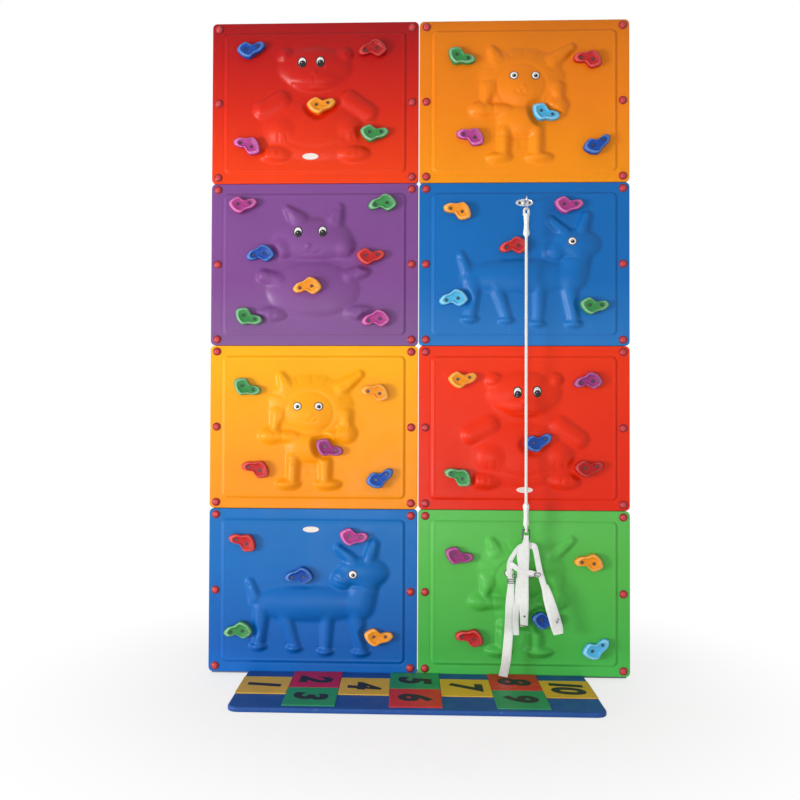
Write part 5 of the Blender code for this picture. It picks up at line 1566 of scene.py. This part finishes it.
def build_rope():
    """Plain rope between a whipped splice with an eye at each end."""
    build_carabiner()
    splice("rope_top_splice", ROPE_PIVOT_Z - EYE_LEG + EYE_ROPE_RADIUS, ROPE_TOP_Z - ROPE_RADIUS)
    low = splice("rope_low_splice", CARABINER_TOP_Z + EYE_LEG - EYE_ROPE_RADIUS,
                 ROPE_LOW_Z + ROPE_RADIUS)
    rope_eye("rope_top_eye", ROPE_PIVOT_Z + LINK_WIRE - EYE_SLOT_HALF + SEAT_GAP, 1, False)
    rope_eye("rope_low_eye", CARABINER_TOP_Z - CARABINER_WIRE + EYE_SLOT_HALF - SEAT_GAP, -1, True)
    steps = 361
    path = [(ROPE_X, ROPE_Y, ROPE_TOP_Z - ROPE_LENGTH * step / steps) for step in range(steps + 1)]
    points, faces, uvs = mapped_bar(path, ROPE_RADIUS, 24)
    line = add_mesh("rope_line", points, faces, "rope_cover", "rope", uvs, sharp=70)
    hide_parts("safety_rope")


# Harness: stations are x from the rope, drop below the carabiner's middle, depth from the rope's
# plane and width, all in millimetres.

BEHIND, FAR_BEHIND = 1.5 * WEB_LAYER, 2.5 * WEB_LAYER
FRONT, FAR_FRONT = -1.5 * WEB_LAYER, -2.5 * WEB_LAYER
STRAPS = {
    "centre_strap": [(0, 3, -8.6, 25), (-1, 22, -8.6, 28), (-3, 46, -7.4, 38),
                     (-9, 74, FRONT - 1, 54), (-16, 120, FRONT, 66), (-12, 185, FRONT, 52),
                     (-12, 240, FRONT, 50), (-12, 320, FRONT - 1, 50), (-11, 400, FRONT - 2, 48),
                     (-10, 488, FRONT, 42)],
    "left_upper_strap": [(-4, 55, BEHIND, 24), (-34, 67, BEHIND, 24), (-62, 102, BEHIND, 24),
                         (-86, 148, BEHIND, 26), (-88, 200, BEHIND, 30), (-84, 225, BEHIND, 30)],
    "long_strap": [(-83, 194, FAR_BEHIND, 31), (-79, 259, FAR_BEHIND, 34),
                   (-81, 297, FAR_BEHIND, 37), (-85, 360, FAR_BEHIND + 2, 44),
                   (-89, 457, FAR_BEHIND + 3, 46), (-92, 530, FAR_BEHIND + 1, 47),
                   (-99, 610, FAR_BEHIND - 4, 48), (-106, 680, FAR_BEHIND - 6, 50),
                   (-116, 734, FAR_BEHIND - 4, 50), (-121, 758, FAR_BEHIND - 1, 48)],
    "rear_strap": [(-10, 78, BEHIND, 30), (-24, 180, FAR_BEHIND, 40),
                   (-36, 280, FAR_BEHIND + 1, 40), (-48, 370, BEHIND, 36),
                   (-54, 450, BEHIND - 2, 34), (-52, 536, BEHIND - 4, 30)],
    "right_strap": [(0, 59, FAR_BEHIND, 30), (38, 62, BEHIND, 34), (52, 87, BEHIND, 30),
                    (70, 180, BEHIND, 31), (89, 250, BEHIND, 32), (104, 295, BEHIND, 36)],
    "cross_strap": [(-96, 148, 0.5 * WEB_LAYER, 26), (-80, 159, 0.5 * WEB_LAYER, 27),
                    (-58, 174, FAR_FRONT, 28), (-19, 197, FAR_FRONT, 28), (21, 203, FAR_FRONT, 28),
                    (38, 207, FAR_FRONT, 28), (52, 211, 0.5 * WEB_LAYER, 27),
                    (66, 215, 0.5 * WEB_LAYER, 26)],
}
LEG_PAD = [(99, 270, -3, 34), (108, 300, -3, 46), (121, 347, -3, 56), (146, 430, -3, 64),
           (163, 490, -3, 64), (172, 528, -3, 50)]


def neighbours(items, index):
    """The items before and after one; an end stands for the missing one."""
    return items[max(index - 1, 0)], items[min(index + 1, len(items) - 1)]


def ribbon(centres, acrosses, widths, thickness, edge_power=6.0, across_steps=10, quilt=None):
    """A band with rounded edges, with its map: u across from 0 to 1, v in metres along."""
    rings, uvs, along = [], [], 0.0
    shares = [math.sin(math.pi / 2 * (2 * k / across_steps - 1)) for k in range(across_steps + 1)]
    for index, centre in enumerate(centres):
        before, after = neighbours(centres, index)
        direction = (after - before).normalized()
        along += (centre - before).length
        across = acrosses[index]
        normal = direction.cross(across).normalized()
        ring = []
        for face, order in ((1, shares), (-1, shares[-2:0:-1])):
            for share in order:
                body = (1 - abs(share) ** edge_power) ** 0.5
                if quilt:
                    body *= quilt(share, along)
                ring.append(tuple(centre + across * share * widths[index] / 2
                                  + normal * face * body * thickness / 2))
                uvs.append((0.5 + share / 2, along))
        rings.append(ring)
    points, faces = skin(rings)
    return points, faces, uvs, along


def strap_line(stations, step=0.006):
    """Smooth centres, side directions and widths through a strap's stations."""
    length = sum(math.dist(a[:2], b[:2]) for a, b in zip(stations[:-1], stations[1:])) * MM
    per_span = max(3, round(length / (step * (len(stations) - 1))))
    line = smooth_line(stations, per_span)
    centres = [Vector((ROPE_X + x * MM, ROPE_Y + depth * MM, CARABINER_Z - drop * MM))
               for x, drop, depth, _ in line]
    acrosses = []
    for index, centre in enumerate(centres):
        before, after = neighbours(centres, index)
        flat = Vector((after.x - before.x, 0, after.z - before.z)).normalized()
        drop = CARABINER_Z - centre.z
        free = min(max((drop - CURL_FROM) / CURL_RISE, 0.0), 1.0)
        roll = Matrix.Rotation(free * CURL * math.sin(2 * math.pi * drop / CURL_PITCH), 3, flat)
        acrosses.append(roll @ Vector((-flat.z, 0, flat.x)))
    return centres, acrosses, [width * MM for _, _, _, width in line]


def build_harness():
    for number, (name, stations) in enumerate(STRAPS.items()):
        centres, acrosses, widths = strap_line(stations)
        points, faces, uvs, length = ribbon(centres, acrosses, widths, WEB_BODY)
        strap = add_mesh("harness_" + name, points, faces, "webbing", "harness", uvs, sharp=60)
        if number == 0:
            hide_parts("harness_webbing")
    build_tie_in()
    build_leg_pad()
    build_buckle()
    build_strap_fittings()


def build_tie_in():
    """Doubled webbing over the carabiner's lower bar."""
    layer = CARABINER_WIRE + SEAT_GAP + WEB_THICKNESS / 2
    closed_half = (WEB_THICKNESS - 0.0004) / 2
    low = CARABINER_LOW_Z
    leg = [(closed_half, low - 0.062), (closed_half, low - 0.047), (closed_half, low - 0.032),
           (0.6 * layer, low - 0.016), (layer, low - 0.004)]
    arc = [(layer * math.cos(a), low + layer * math.sin(a)) for a in np.linspace(0, math.pi, 9)]
    line = smooth_line(leg + arc + [(-y, z) for y, z in reversed(leg)], 3)
    centres = [Vector((ROPE_X, ROPE_Y + y, z)) for y, z in line]
    points, faces, uvs, length = ribbon(centres, [Vector((1, 0, 0))] * len(centres),
                                        [TIE_IN_WIDTH] * len(centres), WEB_BODY)
    loop = add_mesh("harness_tie_in", points, faces, "webbing_plain", "harness", uvs, sharp=60)


def build_leg_pad():
    """Padded strap with bound edges and quilted channels."""
    centres, acrosses, widths = strap_line(LEG_PAD, 0.004)

    def quilt(share, along):
        seam = PAD_SEAM_DEPTH * math.exp(-(share / PAD_SEAM_WIDTH) ** 2)
        away = along % PAD_CHANNEL_PITCH - PAD_CHANNEL_PITCH / 2
        channel = PAD_CHANNEL_DEPTH * math.exp(-(away / PAD_CHANNEL_WIDTH) ** 2)
        return (1 - seam) * (1 - channel)

    points, faces, uvs, _ = ribbon(centres, acrosses, widths, LEG_PAD_THICKNESS, 2.4, 22, quilt)
    pad = add_mesh("leg_pad_body", points, faces, "pad_cloth", "harness", uvs, sharp=70)
    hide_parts("harness_leg_pad")
    edges = [bar([centre + across * side * (width / 2 - 0.0012)
                  for centre, across, width in zip(centres, acrosses, widths)], 0.0017, 10)
             for side in (-1, 1)]
    binding = add_mesh("leg_pad_binding", *joined(edges), "eye_white", "harness", sharp=70)


def rounded_wire(x, y, z, half_x, half_z, wire):
    """A closed wire frame with round corners, which faces the front."""
    path = [(x + a, y, z + b) for a, b in rounded_square(half_x, half_z, 0.004, 6)]
    return bar(smooth_line(path, 2, closed=True), wire, 12, closed=True)


def build_buckle():
    """Three-bar slide on the long strap."""
    x, z = ROPE_X - BUCKLE_SHIFT, CARABINER_Z - BUCKLE_DROP
    y = ROPE_Y + FAR_BEHIND * MM - WEB_THICKNESS / 2 - SEAT_GAP - BUCKLE_WIRE
    middle = [(x + a, y, z) for a in np.linspace(-BUCKLE_HALF[0], BUCKLE_HALF[0], 8)]
    shells = [rounded_wire(x, y, z, *BUCKLE_HALF, BUCKLE_WIRE), bar(middle, BUCKLE_WIRE, 12)]
    slide = add_mesh("buckle_slide", *joined(shells), "dark_steel", "harness", sharp=60)
    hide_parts("harness_buckle")


def build_strap_fittings():
    """Small dark metal parts on the straps: an eyelet, a bar, two rings and an end slot."""
    front = ROPE_Y + (FRONT - 2) * MM - WEB_THICKNESS / 2
    shells = [turned_body(EYELET, (ROPE_X - 9 * MM, front, 365 * MM), 24)]
    shells.append(bar([(ROPE_X + (-34 + 46 * k / 8) * MM, front - 0.0006, (320 - k) * MM)
                       for k in range(9)], 0.0019, 12))
    for x, z, half_x, half_z, wire in STRAP_RINGS:
        shells.append(rounded_wire(ROPE_X + x * MM, ROPE_Y - 0.006, z * MM, half_x, half_z, wire))
    slot = [(ROPE_X + 0.166 + a * 0.8 + b * 0.35, ROPE_Y - 0.0076, 0.344 + b - a * 0.35)
            for a, b in rounded_square(0.0045, 0.0115, 0.003, 5)]
    shells.append(bar(smooth_line(slot, 2, closed=True), 0.0013, 10, closed=True))
    fittings = add_mesh("strap_fittings", *joined(shells), "dark_steel", "harness", sharp=50)


# Landing mat

def slab_lines(half, corner, roll, step):
    """Grid lines across a slab, closer together at its rolled edge."""
    edge = [roll * share for share in SLAB_EDGE]
    edge += list(np.linspace(edge[-1], corner + roll, 6)[1:])
    reach = half - edge[-1]
    steps = max(2, round(2 * reach / step))
    middle = [reach * (2 * k / steps - 1) for k in range(1, steps)]
    return np.array(sorted([side * (half - d) for side in (-1, 1) for d in edge] + middle))


def cushion_slab(centre, half, corners, bottom, top, roll, step, wave=0.0):
    """A slab with rolled upper and lower edges. corners gives the radii in plan at its back and
    its front."""
    half_x, half_y = half
    flat_x, flat_y = np.meshgrid(*(slab_lines(reach, max(corners), roll, step) for reach in half))
    x, y = rounded_grid(flat_x, flat_y, half_x, half_y, np.where(flat_y > 0, *corners))
    from_edge = np.minimum(half_x - np.abs(flat_x), half_y - np.abs(flat_y))
    short = np.clip(1 - from_edge / roll, 0, 1)
    sag = (0.5 + 0.5 * np.sin(7 * x + 1.0) * np.cos(11 * y)) * np.clip(from_edge / 0.04, 0, 1)
    z = top - roll * (1 - np.sqrt(1 - short ** 2)) - wave * sag
    ids, faces, rim = grid(*flat_x.shape)
    points = np.stack([centre[0] + x, centre[1] + y, z], -1).reshape(-1, 3).tolist()
    near = [int(ids[j, i]) for j, i in rim]
    low_roll = min(roll, (top - bottom) * LOW_ROLL)
    for level, inset in ((bottom + low_roll, 0.0),
                         (bottom + low_roll * LOW_ROLL, low_roll * LOW_ROLL),
                         (bottom, low_roll)):
        far = list(range(len(points), len(points) + len(rim)))
        shrink_x, shrink_y = 1 - inset / half_x, 1 - inset / half_y
        points += [[centre[0] + x[j, i] * shrink_x, centre[1] + y[j, i] * shrink_y, level]
                   for j, i in rim]
        faces += band(near, far)
        near = far
    faces.append(list(reversed(near)))
    return points, faces


def tile_places():
    first = MAT_BACK_Y - TILE_BACK_MARGIN
    for column in range(MAT_COLUMNS):
        if column % 2:
            yield column, first
            yield column, first - TILE_DEPTH
        else:
            yield column, first - TILE_DEPTH / 2 + SINGLE_TILE_SETBACK


def digit_mesh(text):
    """A bold slanted number, flat in x and y about its middle."""
    curve = bpy.data.curves.new("digit", "FONT")
    curve.body = text
    curve.size = 1.0
    curve.shear = DIGIT_SLANT
    curve.offset = DIGIT_BOLDNESS
    curve.resolution_u = 6
    curve.space_character = DIGIT_SPACING
    item = linked("digit", curve)
    graph = bpy.context.evaluated_depsgraph_get()
    mesh = bpy.data.meshes.new_from_object(item.evaluated_get(graph), depsgraph=graph)
    bpy.data.objects.remove(item, do_unlink=True)
    bm = bmesh.new()
    bm.from_mesh(mesh)
    bmesh.ops.remove_doubles(bm, verts=bm.verts, dist=0.00005)
    grown = bmesh.ops.extrude_face_region(bm, geom=bm.faces[:])
    for vert in grown["geom"]:
        if isinstance(vert, bmesh.types.BMVert):
            vert.co.z += DIGIT_THICKNESS
    bmesh.ops.recalc_face_normals(bm, faces=bm.faces)
    low = Vector([min(v.co[k] for v in bm.verts) for k in range(3)])
    high = Vector([max(v.co[k] for v in bm.verts) for k in range(3)])
    size = min(DIGIT_HEIGHT / (high.y - low.y), DIGIT_WIDTH / (high.x - low.x))
    for vert in bm.verts:
        vert.co.x = (vert.co.x - (low.x + high.x) / 2) * size
        vert.co.y = (vert.co.y - (low.y + high.y) / 2) * size
    bm.to_mesh(mesh)
    bm.free()
    mesh.shade_flat()
    mesh.materials.clear()
    mesh.materials.append(MATERIALS["print_black"])
    return mesh


def build_mat():
    centre = (MAT_CENTRE_X, MAT_BACK_Y - MAT_DEPTH / 2)
    slab = cushion_slab(centre, (MAT_LENGTH / 2, MAT_DEPTH / 2),
                        (MAT_BACK_CORNER, MAT_FRONT_CORNER), 0.0, MAT_THICKNESS, MAT_ROLL,
                        MAT_GRID, MAT_WAVE)
    base = add_mesh("mat_base", *slab, "mat_blue", "wall", sharp=50)
    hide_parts("landing_mat")
    width = MAT_LENGTH / MAT_COLUMNS
    top = MAT_THICKNESS + TILE_THICKNESS
    half = ((width - TILE_SEAM) / 2, (TILE_DEPTH - TILE_SEAM) / 2)
    for number, (column, back) in enumerate(tile_places(), start=1):
        x = MAT_CENTRE_X - MAT_LENGTH / 2 + (column + 0.5) * width
        y = back - TILE_DEPTH / 2
        slab = cushion_slab((x, y), half, (TILE_CORNER, TILE_CORNER), MAT_THICKNESS - TILE_SINK,
                            top, TILE_ROLL, TILE_GRID)
        tile = add_mesh(f"mat_tile_{number}", *slab, TILE_COLOURS[number - 1], "wall", sharp=50)
        digit = linked(f"mat_number_{number}", digit_mesh(str(number)))
        digit.location = (x, y, top - DIGIT_SINK)
        digit.rotation_euler = (0, 0, -math.pi / 2)
        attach(digit, "wall")


# Studio

def build_floor():
    """A white floor disc that melts into the background away from the part."""
    surface = Surface("studio_floor", specular=0.1)
    surface.colour(surface.ramp(surface.noise(2, 2), [(0.3, (0.90, 0.90, 0.90, 1.0)),
                                                      (0.7, (0.92, 0.92, 0.92, 1.0))]))
    surface.shader.inputs["Roughness"].default_value = 0.9
    length = surface.node("ShaderNodeVectorMath", {0: surface.place()}, operation="LENGTH")
    far = surface.map(length.outputs["Value"], *FLOOR_FADE, 0.72, 1.0, "SMOOTHSTEP")
    glow = surface.node("ShaderNodeEmission", {"Color": WHITE, "Strength": 1.0})
    share = surface.math("MULTIPLY", surface.seen(), far)
    blend = surface.node("ShaderNodeMixShader", {0: share, 1: surface.shader.outputs[0],
                                                 2: glow.outputs[0]})
    output = next(n for n in surface.tree.nodes if n.type == "OUTPUT_MATERIAL")
    surface.tree.links.new(blend.outputs[0], output.inputs["Surface"])
    MATERIALS["studio_floor"] = surface.material
    sides = 96
    points, faces = skin([[(radius * cos, radius * sin, -0.0002) for cos, sin in circle(sides)]
                          for radius in (0.05, 2.0, 4.0, 9.0)], caps=False)
    faces.append(tuple(range(sides)))
    floor = add_mesh("floor", points, faces, "studio_floor")


def build_world():
    """White surroundings that light the part less than they show."""
    world = bpy.data.worlds.new("studio")
    bpy.context.scene.world = world
    world.use_nodes = True
    nodes = Nodes(world.node_tree)
    background = nodes.tree.nodes["Background"]
    background.inputs["Color"].default_value = WHITE
    level = nodes.map(nodes.seen(), 0.0, 1.0, WORLD_LIGHT, 1.0)
    nodes.tree.links.new(level, background.inputs["Strength"])


def build_studio():
    bpy.context.scene.view_settings.view_transform = "Standard"
    build_world()
    build_floor()
    for name, settings in LIGHTS.items():
        add_area_light(name, *settings)


def main():
    make_materials()
    add_camera()
    build_rope()
    build_pad_eye()
    build_link()
    build_harness()
    build_panels()
    build_faces()
    build_caps()
    build_holds()
    build_frame()
    build_mat()
    build_studio()


main()
bpy.context.view_layer.update()
